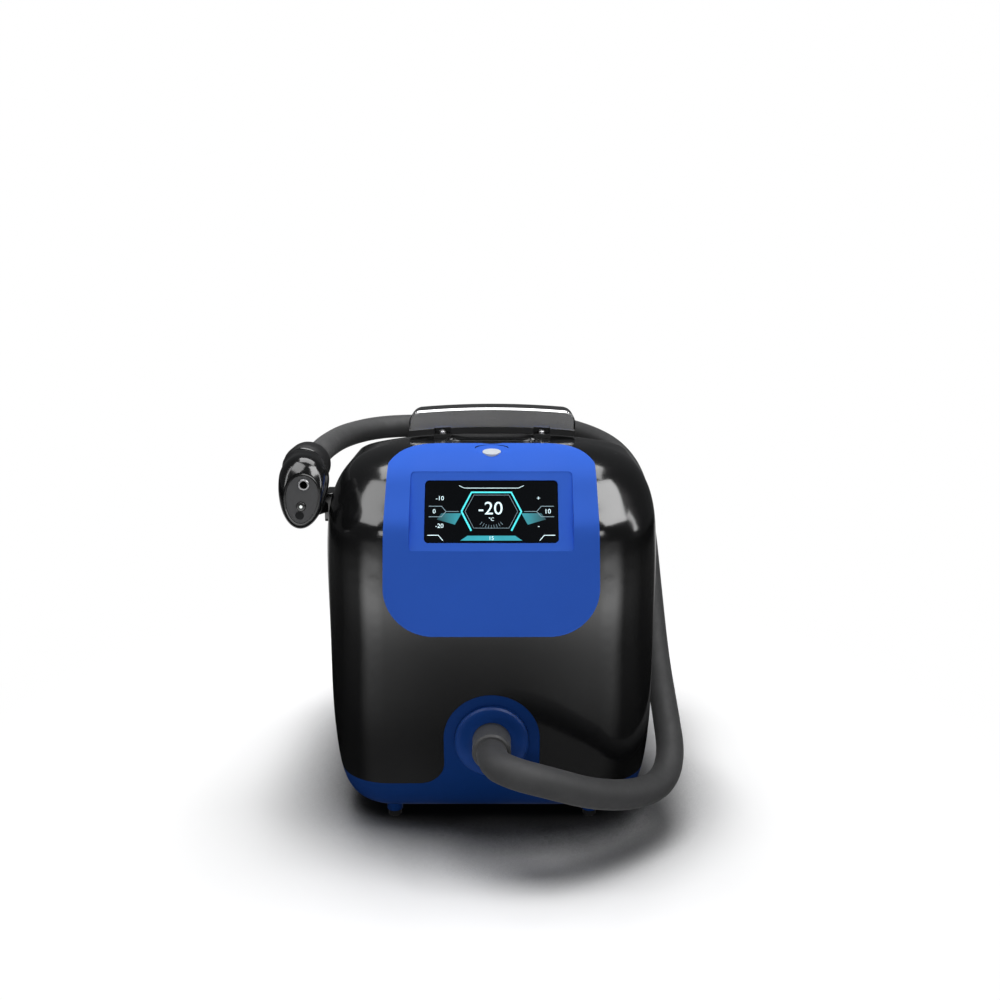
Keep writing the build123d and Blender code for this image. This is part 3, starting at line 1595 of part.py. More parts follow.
nozzle_front = face_back - face_thickness - nozzle_ring_proud
with BuildPart() as nozzle_ring:
    with BuildSketch(handpiece_plane(nozzle_front)):
        with Locations((nozzle_x, nozzle_up)):
            Circle(nozzle_ring_radius)
    extrude(amount=-nozzle_length)
    fillet(nozzle_ring.edges().sort_by(Axis.Y)[0], nozzle_ring_proud)
    with BuildSketch(handpiece_plane(nozzle_front)):
        with Locations((nozzle_x, nozzle_up)):
            Circle(nozzle_radius)
    extrude(amount=-nozzle_length, mode=Mode.SUBTRACT)
finish(nozzle_ring, "nozzle_ring")


def duct_ring(depth, middle, radius):
    """A round section of the air duct inside the handpiece."""
    with BuildSketch(front(depth, *middle)) as ring:
        Circle(radius)
    return ring.sketch


lean = math.radians(handpiece_tilt)
nozzle_middle = (
    handpiece_x + nozzle_x * math.cos(lean) + nozzle_up * math.sin(lean),
    handpiece_level - nozzle_x * math.sin(lean) + nozzle_up * math.cos(lean),
)
neck_middle = (neck_x, neck_level)
nozzle_back = nozzle_front + nozzle_length
with BuildPart() as nozzle_duct:
    loft(
        [
            duct_ring(nozzle_back, nozzle_middle, nozzle_ring_radius),
            duct_ring(handpiece_back - handpiece_wall, neck_middle, neck_bore - fit_gap),
        ]
    )
    with BuildSketch(front(handpiece_back - handpiece_wall, *neck_middle)):
        Circle(neck_bore - fit_gap)
    extrude(amount=-handpiece_wall)
    loft(
        [
            duct_ring(nozzle_back, nozzle_middle, nozzle_radius),
            duct_ring(handpiece_back, neck_middle, neck_bore - fit_gap - duct_thickness),
        ],
        mode=Mode.SUBTRACT,
    )
finish(nozzle_duct, "nozzle_duct")

# Rear collar of the handpiece: it holds the hose and carries the docking pin
neck_profile = (
    (neck_bore, handpiece_back + seat_gap),
    (neck_radius, handpiece_back + seat_gap),
    (neck_ring_radius, handpiece_back + neck_flare),
    (neck_ring_radius, neck_back - neck_chamfer),
    (neck_ring_radius - neck_chamfer, neck_back),
    (hose_radius + fit_gap, neck_back),
    (hose_radius + fit_gap, neck_seat),
    (neck_bore, neck_seat),
)
with BuildPart() as handpiece_collar:
    with BuildSketch(level(cup_floor + fit_gap)):
        with Locations((neck_x, pin_y)):
            Circle(pin_radius)
    extrude(amount=pin_top - cup_floor - fit_gap)
    chamfer(handpiece_collar.faces().sort_by(Axis.Z)[0].edges(), fit_gap)
    with BuildSketch(side(neck_x, 0, neck_level)):
        with BuildLine():
            Polyline(*[(depth, radius) for radius, depth in neck_profile], close=True)
        make_face()
    revolve(axis=Axis((housing_x + neck_x, housing_y, neck_level), (0, 1, 0)))
finish(handpiece_collar, "handpiece_collar")

# Trigger button with its light, the lens and the small board behind them
trigger_front = handpiece_front + face_sunk
with BuildPart() as trigger_button:
    with BuildSketch(handpiece_plane(trigger_front - trigger_dome)):
        with Locations((trigger_x, trigger_up)):
            Circle(trigger_radius)
    extrude(amount=-trigger_depth)
    fillet(trigger_button.edges().sort_by(Axis.Y)[0], trigger_dome / 2)
    with BuildSketch(handpiece_plane(face_back + fit_gap)):
        with Locations((trigger_x, trigger_up)):
            Circle(trigger_radius + trigger_travel)
    extrude(amount=-trigger_travel)
    with BuildSketch(handpiece_plane(trigger_front - trigger_dome)):
        with Locations((trigger_x, trigger_up)):
            Circle(led_radius + seat_gap)
    extrude(amount=-trigger_depth / 2, mode=Mode.SUBTRACT)
finish(trigger_button, "trigger_button")

with BuildPart() as trigger_led:
    with BuildSketch(handpiece_plane(trigger_front - trigger_dome)):
        with Locations((trigger_x, trigger_up)):
            Circle(led_radius)
    extrude(amount=-trigger_depth / 2)
    fillet(trigger_led.edges().sort_by(Axis.Y)[0], led_radius / 3)
finish(trigger_led, "trigger_led")

with BuildPart() as handpiece_lens:
    with BuildSketch(handpiece_plane(trigger_front)):
        with Locations((lens_x, lens_up)):
            Circle(lens_radius)
    extrude(amount=-lens_thickness)
finish(handpiece_lens, "handpiece_lens")

with BuildPart() as handpiece_board:
    with BuildSketch(handpiece_plane(handpiece_board_front)):
        with Locations((lens_x, (trigger_up + lens_up) / 2)):
            Rectangle(handpiece_board_width, handpiece_board_height)
    extrude(amount=-board_thickness)
    with BuildSketch(handpiece_plane(handpiece_board_front)):
        with Locations((trigger_x, trigger_up)):
            Rectangle(2 * screw_radius, 2 * screw_radius)
    extrude(amount=handpiece_board_front - face_back - 2 * trigger_travel - 2 * fit_gap)
finish(handpiece_board, "handpiece_board")

# Holder on the housing's left wall: a plate, an arm and the cup for the docking pin
holder_outer = -(housing_width / 2 + holder_plate_thickness)
with BuildPart() as handpiece_holder:
    with BuildSketch(side(holder_outer, holder_plate_y, holder_plate_level)):
        RectangleRounded(holder_plate_length, holder_plate_height, holder_plate_thickness)
    extrude(amount=3 * holder_plate_thickness)
    with BuildSketch(level(arm_level - arm_height / 2)):
        with Locations((neck_x, pin_y), (arm_root_x, arm_root_y)):
            Circle(arm_depth / 2)
        make_hull()
    extrude(amount=arm_height)
    with BuildSketch(level(cup_bottom)):
        with Locations((neck_x, pin_y)):
            Circle(cup_radius)
    extrude(amount=cup_top - cup_bottom)
    add(seat_form.part, mode=Mode.SUBTRACT)
    with BuildSketch(level(cup_floor)):
        with Locations((neck_x, pin_y)):
            Circle(pin_radius + fit_gap)
    extrude(amount=cup_top - cup_floor, mode=Mode.SUBTRACT)
    with BuildSketch(side(holder_outer)):
        with Locations(*holder_fixings):
            Circle(screw_radius + fit_gap)
    extrude(amount=overrun, mode=Mode.SUBTRACT)
finish(handpiece_holder, "handpiece_holder")

with BuildPart() as holder_screws:
    holder_shank = holder_plate_thickness + 2 * shell_wall
    add(screw_set(side(holder_outer), holder_fixings, -screw_head, holder_shank))
finish(holder_screws, "holder_screws")
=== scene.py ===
import json
import math

import bmesh
import bpy
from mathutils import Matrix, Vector


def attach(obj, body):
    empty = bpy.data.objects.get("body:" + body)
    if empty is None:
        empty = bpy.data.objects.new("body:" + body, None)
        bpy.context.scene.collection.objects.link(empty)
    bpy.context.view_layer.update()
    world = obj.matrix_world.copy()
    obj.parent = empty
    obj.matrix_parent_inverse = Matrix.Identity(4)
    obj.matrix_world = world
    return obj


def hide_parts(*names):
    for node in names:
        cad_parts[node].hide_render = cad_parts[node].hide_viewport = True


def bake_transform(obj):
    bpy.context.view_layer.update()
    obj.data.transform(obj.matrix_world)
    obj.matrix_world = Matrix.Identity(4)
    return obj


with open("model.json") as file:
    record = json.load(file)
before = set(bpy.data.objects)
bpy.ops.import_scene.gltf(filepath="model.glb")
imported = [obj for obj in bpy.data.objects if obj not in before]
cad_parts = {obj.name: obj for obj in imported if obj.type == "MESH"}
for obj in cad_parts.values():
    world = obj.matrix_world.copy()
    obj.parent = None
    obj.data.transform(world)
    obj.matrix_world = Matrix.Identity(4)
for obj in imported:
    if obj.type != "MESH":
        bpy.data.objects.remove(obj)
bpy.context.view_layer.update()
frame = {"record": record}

# The housing's middle front on the floor, in millimetres in the shared frame
HOUSING_X = 22.5
HOUSING_Y = -197.5


def at(x, y, z):
    """A point of the shared frame, given in millimetres from the housing's middle front."""
    return Vector(((x + HOUSING_X) / 1000, (y + HOUSING_Y) / 1000, z / 1000))


# Camera at the photograph's angle
CAMERA_PLACE = at(9.5, -1039.0, 632.0)
CAMERA_DIP = 12.5
camera_data = bpy.data.cameras.new("view_camera")
camera_data.lens = 35.64
camera_data.sensor_width = 36.0
camera_data.clip_end = 50.0
camera = bpy.data.objects.new("view_camera", camera_data)
camera.location = CAMERA_PLACE
camera.rotation_euler = (math.radians(90.0 - CAMERA_DIP), 0.0, 0.0)
bpy.context.scene.collection.objects.link(camera)
bpy.context.scene.camera = camera
bpy.context.scene.view_settings.view_transform = "Standard"

# The display's middle, and its directions across, up and out
DISPLAY_LEAN = 29.0
DISPLAY_MIDDLE = at(0.0, 22.8, 383.6)
lean = math.radians(DISPLAY_LEAN)
display_across = Vector((1.0, 0.0, 0.0))
display_up = Vector((0.0, math.sin(lean), math.cos(lean)))
display_out = Vector((0.0, -math.cos(lean), math.sin(lean)))


# Finishes
GRAIN_DEPTH = 0.0002
FLAKE_DEPTH = 0.0001
GLOW_LEVEL = 1.0
UNLIT_GLASS = (0.01, 0.02, 0.03)


def darker(tone, share):
    """A tone with each of its parts brought down to a share."""
    return tuple(share * part for part in tone)


class Finish:
    """One material built from shader nodes, with short names for the nodes used here."""

    def __init__(self, name, base, roughness, metallic=0.0):
        self.material = bpy.data.materials.new(name)
        self.material.use_nodes = True
        self.tree = self.material.node_tree
        self.shader = self.tree.nodes["Principled BSDF"]
        self.set_plain({"Base Color": (*base, 1.0), "Roughness": roughness, "Metallic": metallic})
        self.place = self.tree.nodes.new("ShaderNodeTexCoord").outputs["Object"]

    def set_plain(self, values):
        """Values that are the same all over, on the shader's own sockets."""
        for socket, value in values.items():
            self.shader.inputs[socket].default_value = value

    def node(self, kind, **values):
        made = self.tree.nodes.new(kind)
        for key, value in values.items():
            setattr(made, key, value)
        return made

    def join(self, source, target):
        self.tree.links.new(source, target)

    def axes(self):
        """The place's x, y and z, each on a socket of its own."""
        made = self.node("ShaderNodeSeparateXYZ")
        self.join(self.place, made.inputs["Vector"])
        return made.outputs

    def math(self, operation, *values):
        """One sum on sockets and plain numbers."""
        made = self.node("ShaderNodeMath", operation=operation)
        for socket, value in zip(made.inputs, values):
            if isinstance(value, float):
                socket.default_value = value
            else:
                self.join(value, socket)
        return made.outputs[0]

    def noise(self, scale, detail=2.0, roughness=0.5, place=None):
        made = self.node("ShaderNodeTexNoise")
        made.inputs["Scale"].default_value = scale
        made.inputs["Detail"].default_value = detail
        made.inputs["Roughness"].default_value = roughness
        self.join(place or self.place, made.inputs["Vector"])
        return made.outputs["Fac"]

    def spread(self, value, low, high, at_low=0.3, at_high=0.7, kind="LINEAR"):
        """A value spread out so that it runs from low to high."""
        made = self.node("ShaderNodeMapRange", interpolation_type=kind)
        made.inputs["From Min"].default_value = at_low
        made.inputs["From Max"].default_value = at_high
        made.inputs["To Min"].default_value = low
        made.inputs["To Max"].default_value = high
        self.join(value, made.inputs["Value"])
        return made.outputs["Result"]

    def ramp(self, value, stops, kind="LINEAR"):
        """A colour that runs through two or more stops, each a position and its tone."""
        made = self.node("ShaderNodeValToRGB")
        made.color_ramp.interpolation = kind
        ends = made.color_ramp.elements[0], made.color_ramp.elements[1]
        for end, (position, tone) in zip(ends, (stops[0], stops[-1])):
            end.position = position
            end.color = (*tone, 1.0)
        for position, tone in stops[1:-1]:
            made.color_ramp.elements.new(position).color = (*tone, 1.0)
        self.join(value, made.inputs["Fac"])
        return made.outputs["Color"]

    def tones(self, value, first, second, at_first=0.35, at_second=0.65):
        """A colour that drifts between two tones."""
        return self.ramp(value, ((at_first, first), (at_second, second)))

    def mix(self, share, first, second):
        """One shader that gives way to another by a share."""
        made = self.node("ShaderNodeMixShader")
        for socket, value in zip(made.inputs, (share, first, second)):
            self.join(value, socket)
        return made.outputs[0]

    def bump(self, value, strength, distance=GRAIN_DEPTH):
        made = self.node("ShaderNodeBump")
        made.inputs["Strength"].default_value = strength
        made.inputs["Distance"].default_value = distance
        self.join(value, made.inputs["Height"])
        self.join(made.outputs["Normal"], self.shader.inputs["Normal"])

    def colour(self, value):
        self.join(value, self.shader.inputs["Base Color"])

    def dullness(self, value):
        self.join(value, self.shader.inputs["Roughness"])

    def shine(self, value):
        self.join(value, self.shader.inputs["Emission Color"])


def moulded_gloss(name, base, deeper, roughness, coat=0.0, gleam=0.5):
    """Glossy moulded plastic: a slow drift of tone, fine haze and a faint orange-peel ripple."""
    made = Finish(name, base, roughness)
    made.set_plain({"Specular IOR Level": gleam})
    drift = made.noise(scale=9.0, detail=3.0)
    made.colour(made.tones(drift, base, deeper, at_first=0.2, at_second=0.8))
    haze = made.noise(scale=25.0, detail=3.0)
    made.dullness(made.spread(haze, roughness * 0.8, roughness * 1.25, at_low=0.0, at_high=1.0))
    made.bump(made.noise(scale=160.0, detail=1.0), strength=0.02)
    if coat:
        made.set_plain({"Coat Weight": coat, "Coat Roughness": 0.06})
    return made.material


def moulded_matte(name, base, deeper, roughness=0.5):
    """Spark-eroded matte plastic with its fine grain."""
    made = Finish(name, base, roughness)
    made.set_plain({"Specular IOR Level": 0.2})
    made.colour(made.tones(made.noise(scale=14.0, detail=4.0), base, deeper))
    haze = made.noise(scale=80.0, detail=4.0)
    made.dullness(made.spread(haze, roughness * 0.88, roughness * 1.1))
    grain = made.node("ShaderNodeTexVoronoi")
    grain.inputs["Scale"].default_value = 2200.0
    made.join(made.place, grain.inputs["Vector"])
    made.bump(grain.outputs["Distance"], strength=0.12)
    return made.material


def soft_rubber(name, base, deeper, roughness):
    """Rubber with a dry bloom and very fine pores."""
    made = Finish(name, base, roughness)
    made.set_plain({"Specular IOR Level": 0.25, "Sheen Weight": 0.12, "Sheen Roughness": 0.4})
    made.colour(made.tones(made.noise(scale=24.0, detail=6.0, roughness=0.6), base, deeper))
    bloom = made.noise(scale=160.0, detail=4.0)
    made.dullness(made.spread(bloom, roughness * 0.85, roughness * 1.15))
    made.bump(made.noise(scale=1800.0), strength=0.10)
    return made.material


def plain_metal(name, base, roughness):
    """Drawn or rolled metal with faint streaks."""
    made = Finish(name, base, roughness, metallic=1.0)
    drawn_out = made.node("ShaderNodeMapping")
    drawn_out.inputs["Scale"].default_value = (1.0, 1.0, 40.0)
    made.join(made.place, drawn_out.inputs["Vector"])
    streaks = made.noise(60.0, detail=4.0, roughness=0.6, place=drawn_out.outputs["Vector"])
    made.dullness(made.spread(streaks, roughness * 0.75, roughness * 1.3))
    made.bump(streaks, strength=0.05)
    return made.material


def satin_silver(name, base, roughness):
    """Silver-painted plastic with its fine flake."""
    made = Finish(name, base, roughness, metallic=1.0)
    made.set_plain({"Coat Weight": 0.3, "Coat Roughness": 0.1})
    flake = made.noise(scale=900.0)
    made.colour(made.tones(flake, base, darker(base, 0.86)))
    haze = made.noise(scale=30.0, detail=3.0)
    made.dullness(made.spread(haze, roughness * 0.85, roughness * 1.2, at_low=0.0, at_high=1.0))
    made.bump(flake, strength=0.03, distance=FLAKE_DEPTH)
    return made.material


def fading_glow(name, base, near, far):
    """A lit patch that fades out with its distance from the display's middle."""
    made = Finish(name, base, 0.3)
    aside = made.math("ABSOLUTE", made.math("SUBTRACT", made.axes()["X"], DISPLAY_MIDDLE.x))
    fading = made.spread(aside, GLOW_LEVEL, 0.05, at_low=near, at_high=far)
    made.join(fading, made.shader.inputs["Emission Strength"])
    unevenness = made.noise(scale=60.0)
    made.shine(made.tones(unevenness, base, darker(base, 0.85)))
    made.colour(made.tones(unevenness, UNLIT_GLASS, darker(UNLIT_GLASS, 0.8)))
    return made.material


def glow(name, base):
    """A lit sign on the display, a little uneven as a backlight is."""
    made = Finish(name, base, 0.3)
    made.set_plain({"Emission Strength": GLOW_LEVEL})
    made.colour(made.tones(made.noise(scale=40.0), base, darker(base, 0.9)))
    made.shine(made.tones(made.noise(scale=90.0), base, darker(base, 0.88)))
    return made.material


# What each finish is made with: its tone, its deeper tone and its roughness
black_gloss = moulded_gloss(
    "black_gloss", (0.009, 0.0092, 0.0096), (0.006, 0.0062, 0.0066), 0.16, coat=0.25
)
base_blue = moulded_gloss("base_blue", (0.006, 0.044, 0.215), (0.004, 0.036, 0.178), 0.45, gleam=0.07)
fascia_blue = moulded_gloss(
    "fascia_blue", (0.040, 0.152, 0.75), (0.036, 0.138, 0.69), 0.60, gleam=0.05
)
# Port ring: a lighter copy of the base blue, painted light standing in for the light that falls on the
# ring at the top of the arch
port_blue_painted_light = moulded_gloss("port_blue_painted_light", (0.009, 0.060, 0.290), (0.007, 0.050, 0.245), 0.38, gleam=0.15)
handle_silver = satin_silver("handle_silver", (0.45, 0.45, 0.455), 0.16)
nozzle_silver = satin_silver("nozzle_silver", (0.30, 0.30, 0.31), 0.3)
rear_matte = moulded_matte("rear_matte", (0.050, 0.050, 0.052), (0.042, 0.042, 0.044))
black_matte = moulded_matte("black_matte", (0.022, 0.022, 0.023), (0.017, 0.017, 0.018))
grey_matte = moulded_matte("grey_matte", (0.115, 0.116, 0.119), (0.103, 0.104, 0.107))
pale_plastic = moulded_gloss("pale_plastic", (0.72, 0.76, 0.80), (0.68, 0.72, 0.76), 0.30)
collar_rubber = soft_rubber("collar_rubber", (0.105, 0.106, 0.108), (0.088, 0.089, 0.091), 0.55)
hose_rubber = soft_rubber("hose_rubber", (0.074, 0.0745, 0.076), (0.060, 0.0605, 0.062), 0.6)
foot_rubber = soft_rubber("foot_rubber", (0.012, 0.012, 0.012), (0.008, 0.008, 0.008), 0.7)
screw_steel = plain_metal("screw_steel", (0.55, 0.55, 0.56), 0.3)
sheet_steel = plain_metal("sheet_steel", (0.50, 0.51, 0.52), 0.35)
fin_metal = plain_metal("fin_metal", (0.72, 0.73, 0.75), 0.35)
copper = plain_metal("copper", (0.75, 0.36, 0.22), 0.28)
screen_glass = moulded_gloss(
    "screen_glass", (0.004, 0.005, 0.007), (0.003, 0.004, 0.005), 0.10, gleam=0.35
)
lens_glass = moulded_gloss("lens_glass", (0.004, 0.005, 0.006), (0.003, 0.004, 0.005), 0.12, gleam=0.12)
foam = moulded_matte("foam", (0.66, 0.67, 0.65), (0.60, 0.61, 0.59), 0.8)
board_green = moulded_gloss("board_green", (0.01, 0.09, 0.04), (0.008, 0.07, 0.03), 0.35)
mesh_fabric = moulded_matte("mesh_fabric", (0.05, 0.05, 0.052), (0.035, 0.035, 0.037), 0.9)
led_glow = glow("led_glow", (0.82, 0.90, 0.86))
teal_glow = glow("teal_glow", (0.05, 0.62, 0.66))
pale_glow = glow("pale_glow", (0.62, 0.80, 0.84))
dim_glow = glow("dim_glow", (0.16, 0.24, 0.28))
teal_fade = fading_glow("teal_fade", (0.02, 0.42, 0.50), near=0.030, far=0.062)

# The body of each solid
body_of = {
    node: body
    for body, nodes in frame["record"]["behaviour"]["bodies"].items()
    for node in nodes
}

# Hose: a smooth tube on its spline, a little wider at the port than at the handpiece
hose_points = (
    (0, -20, 120),
    (0, -50, 120),
    (24, -73, 119),
    (66, -72, 107),
    (109, -56, 86),
    (159, -26, 68),
    (197, 9, 63),
    (214, 46, 80),
    (213, 92, 112),
    (211, 160, 157),
    (210, 226, 226),
    (211, 304, 298),
    (206, 367, 352),
    (183, 396, 387),
    (142, 384, 412),
    (84, 344, 433),
    (0, 304, 441),
    (-89, 289, 441),
    (-149, 277, 441),
    (-187, 233, 438),
    (-203, 174, 434),
    (-209, 122, 428),
    (-209, 70, 428),
)
HOSE_RADIUS = 0.016
HOSE_WIDEST = 1.08
HOSE_NARROWEST = 0.90


def hose_curve(name, bevel):
    """The hose's spline, with or without its round section."""
    data = bpy.data.curves.new(name, "CURVE")
    data.dimensions = "3D"
    data.resolution_u = 12
    data.bevel_depth = HOSE_RADIUS if bevel else 0.0
    data.bevel_resolution = 10
    data.use_fill_caps = bevel
    line = data.splines.new("NURBS")
    last = len(hose_points) - 1
    line.points.add(last)
    for index, (knot, point) in enumerate(zip(line.points, hose_points)):
        knot.co = (*at(*point), 1.0)
        knot.radius = HOSE_WIDEST + (HOSE_NARROWEST - HOSE_WIDEST) * index / last
    line.order_u = 3
    line.use_endpoint_u = True
    line.use_smooth = True
    return bpy.data.objects.new(name, data)


def mesh_of(source):
    """The mesh that a curve or text object makes."""
    bpy.context.scene.collection.objects.link(source)
    bpy.context.view_layer.update()
    settled = source.evaluated_get(bpy.context.evaluated_depsgraph_get())
    made = bpy.data.meshes.new_from_object(settled)
    bpy.data.objects.remove(source)
    return made


def piece(name, mesh, material, body, stands_for=()):
    """Puts a finished mesh in the scene, on its body, in its material."""
    made = bpy.data.objects.new(name, mesh)
    bpy.context.scene.collection.objects.link(made)
    made.data.materials.clear()
    made.data.materials.append(material)
    if body:
        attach(made, body)
    if stands_for:
        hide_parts(*stands_for)
    return made


# Corners nearer to each other than this, in metres, are merged
SAME_POINT = 0.000002


def shade(mesh, angle):
    """Smooth faces, with sharp edges where the surface turns by more than the angle."""
    work = bmesh.new()
    work.from_mesh(mesh)
    bmesh.ops.remove_doubles(work, verts=work.verts, dist=SAME_POINT)
    for face in work.faces:
        face.smooth = True
    for edge in work.edges:
        edge.smooth = len(edge.link_faces) == 2 and edge.calc_face_angle() < math.radians(angle)
    work.to_mesh(mesh)
    work.free()
    return mesh


hose_line = mesh_of(hose_curve("hose_line", False))
hose_mesh = mesh_of(hose_curve("hose_tube", True))
shade(hose_mesh, angle=60.0)
hose = piece("hose_tube", hose_mesh, hose_rubber, None, ("hose",))
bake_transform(hose)


def smooth_copy(node, material, angle):
    """A merged, smooth-shaded copy of a solid's mesh that stands for it."""
    mesh = shade(bpy.data.objects[node].data.copy(), angle)
    piece(node + "_skin", mesh, material, body_of[node], (node,))


# Solids that get a smooth-shaded copy: its finish, and the angle past which its edges stay sharp
smooth_finishes = {
    "housing_shell": (black_gloss, 30.0),
    "base_tray": (base_blue, 30.0),
    "front_fascia": (fascia_blue, 24.0),
    "rear_cover": (rear_matte, 25.0),
    "port_ring": (port_blue_painted_light, 30.0),
    "hose_collar": (collar_rubber, 30.0),
    "power_button": (pale_plastic, 30.0),
    "carry_handle_grip": (handle_silver, 30.0),
    "carry_handle_rail": (black_matte, 30.0),
    "handle_screws": (screw_steel, 30.0),
    "rubber_feet": (foot_rubber, 30.0),
    "handpiece_shell": (black_gloss, 40.0),
    "handpiece_face_plate": (grey_matte, 30.0),
    "nozzle_ring": (nozzle_silver, 30.0),
    "handpiece_collar": (black_matte, 30.0),
    "handpiece_lens": (lens_glass, 30.0),
    "trigger_button": (black_gloss, 30.0),
    "trigger_led": (led_glow, 30.0),
    "handpiece_holder": (black_gloss, 30.0),
    "display_glass": (screen_glass, 30.0),
    "mains_rocker": (black_matte, 30.0),
    "mains_inlet": (black_matte, 30.0),
    "mains_switch_frame": (rear_matte, 30.0),
    "compressor": (black_matte, 35.0),
    "accumulator": (black_matte, 35.0),
    "air_duct": (black_matte, 35.0),
    "blower_elbow": (black_matte, 35.0),
    "discharge_pipe": (copper, 40.0),
    "suction_pipe": (copper, 40.0),
    "liquid_line": (copper, 40.0),
    "drain_tube": (foot_rubber, 40.0),
}
for node, (material, angle) in smooth_finishes.items():
    smooth_copy(node, material, angle)

# Solids that stay as they are, by finish
plain_finishes = {
    screw_steel: (
        "housing_screws", "foot_screws", "rear_cover_screws", "display_screws", "holder_screws",
        "chassis_screws",
    ),
    sheet_steel: ("chassis_plate", "evaporator_stand"),
    fin_metal: ("condenser_coil", "evaporator_coil"),
    black_matte: (
        "port_spigot", "nozzle_duct", "button_switch", "fan_shroud", "fan_motor", "condenser_fan",
        "blower_volute", "blower_motor", "blower_wheel", "power_supply",
    ),
    grey_matte: ("display_module",),
    foam: ("evaporator_box", "evaporator_lid"),
    pale_plastic: ("condensate_bottle",),
    board_green: ("control_board", "handpiece_board"),
    mesh_fabric: ("air_filter",),
    foot_rubber: ("compressor_grommets",),
}
for material, nodes in plain_finishes.items():
    for node in nodes:
        solid = bpy.data.objects[node]
        solid.data.materials.clear()
        solid.data.materials.append(material)

# Display: signs laid on the glass, drawn in millimetres, flattened and set a little proud of it
FLATNESS = 0.05
SIGN_PROUD = 0.10
PATCH_PROUD = 0.04


def lay_on_display(mesh, across, up, proud):
    """Moves a flat mesh, drawn in millimetres round its own middle, onto the display glass."""
    for vertex in mesh.vertices:
        x, y, z = vertex.co
        vertex.co = (
            DISPLAY_MIDDLE
            + display_across * (across + x) / 1000
            + display_up * (up + y) / 1000
            + display_out * (proud + z * FLATNESS) / 1000
        )


def on_display(name, mesh, material, across=0.0, up=0.0, proud=SIGN_PROUD):
    """A finished sign in its place on the glass."""
    lay_on_display(mesh, across, up, proud)
    piece(name, mesh, material, "housing")


def sign(name, words, height, across, up, material):
    """A generic number or mark."""
    data = bpy.data.curves.new(name, "FONT")
    data.body = words
    data.size = height
    data.align_x = "CENTER"
    data.align_y = "CENTER"
    data.resolution_u = 4
    on_display(name, mesh_of(bpy.data.objects.new(name, data)), material, across, up)


def drawn(name, points, closed):
    """A flat line through points in millimetres, as a curve."""
    data = bpy.data.curves.new(name, "CURVE")
    line = data.splines.new("POLY")
    line.points.add(len(points) - 1)
    for knot, (x, y) in zip(line.points, points):
        knot.co = (x, y, 0.0, 1.0)
    line.use_cyclic_u = closed
    return data


def stroke(name, points, width, material, closed=False):
    """A drawn line of even width."""
    data = drawn(name, points, closed)
    data.dimensions = "3D"
    data.bevel_depth = width / 2
    data.bevel_resolution = 1
    on_display(name, mesh_of(bpy.data.objects.new(name, data)), material)


def patch(name, points, material):
    """A filled flat shape."""
    data = drawn(name, points, True)
    data.dimensions = "2D"
    data.fill_mode = "BOTH"
    on_display(name, mesh_of(bpy.data.objects.new(name, data)), material, proud=PATCH_PROUD)


# Reading in a long six-sided ring, with ticks below it like those of a gauge
RING_HALF = 33.0
RING_TOP_HALF = 22.0
RING_RISE = 22.0
RING_WIDTH = 2.0
INNER_RING_ACROSS = 0.88
INNER_RING_UP = 0.86
ring = [
    (-RING_HALF, 0.0),
    (-RING_TOP_HALF, RING_RISE),
    (RING_TOP_HALF, RING_RISE),
    (RING_HALF, 0.0),
    (RING_TOP_HALF, -RING_RISE),
    (-RING_TOP_HALF, -RING_RISE),
]
inner_ring = [(INNER_RING_ACROSS * x, INNER_RING_UP * y) for x, y in ring]
stroke("reading_ring", ring[:5], RING_WIDTH, teal_glow)
stroke("reading_ring_left", [ring[0], ring[5]], RING_WIDTH, teal_glow)
stroke("reading_ring_inner", inner_ring, width=0.5, material=dim_glow, closed=True)
sign("reading", "-20", height=21.0, across=-1.0, up=3.0, material=pale_glow)
sign("reading_unit", "°C", height=5.5, across=0.0, up=-9.0, material=pale_glow)
TICKS = 9
TICK_FROM = 15.5
TICK_TO = 19.5
FIRST_TICK = -130.0
TICK_SWEEP = 80.0
for index in range(TICKS):
    angle = math.radians(FIRST_TICK + TICK_SWEEP * index / (TICKS - 1))
    tick = [(reach * math.cos(angle), reach * math.sin(angle)) for reach in (TICK_FROM, TICK_TO)]
    stroke(f"tick_{index}", tick, width=0.4, material=dim_glow)

# Side scales: three marks on either side, each on a lit wedge with its guide line
WEDGE = ((33.0, -2.0), (55.0, -2.0), (60.0, -9.0), (40.0, -15.0))
GUIDE = ((36.0, 0.0), (50.0, 0.0), (55.0, 6.0), (69.0, 6.0))
GUIDE_LOW = tuple((x, -y) for x, y in GUIDE)
HEADER = ((36.0, 30.0), (30.0, 27.0), (0.0, 27.0))
FOOTER = ((70.0, -27.0), (58.0, -27.0), (53.0, -33.0))
FOOTER_BAND = ((-34.0, -33.0), (34.0, -33.0), (26.0, -27.5), (-26.0, -27.5))


def turned(points, turn):
    """Points of the right side, mirrored to the left where the turn is -1."""
    return [(turn * x, y) for x, y in points]


for side, turn in (("left", -1), ("right", 1)):
    patch(f"{side}_wedge", turned(WEDGE, turn), teal_fade)
    stroke(f"{side}_guide", turned(GUIDE, turn), width=0.7, material=dim_glow)
    stroke(f"{side}_guide_low", turned(GUIDE_LOW, turn), width=0.7, material=dim_glow)
    stroke(f"{side}_header", turned(HEADER, turn), width=0.6, material=pale_glow)
    stroke(f"{side}_footer", turned(FOOTER, turn), width=0.8, material=pale_glow)
patch("footer_band", FOOTER_BAND, teal_fade)

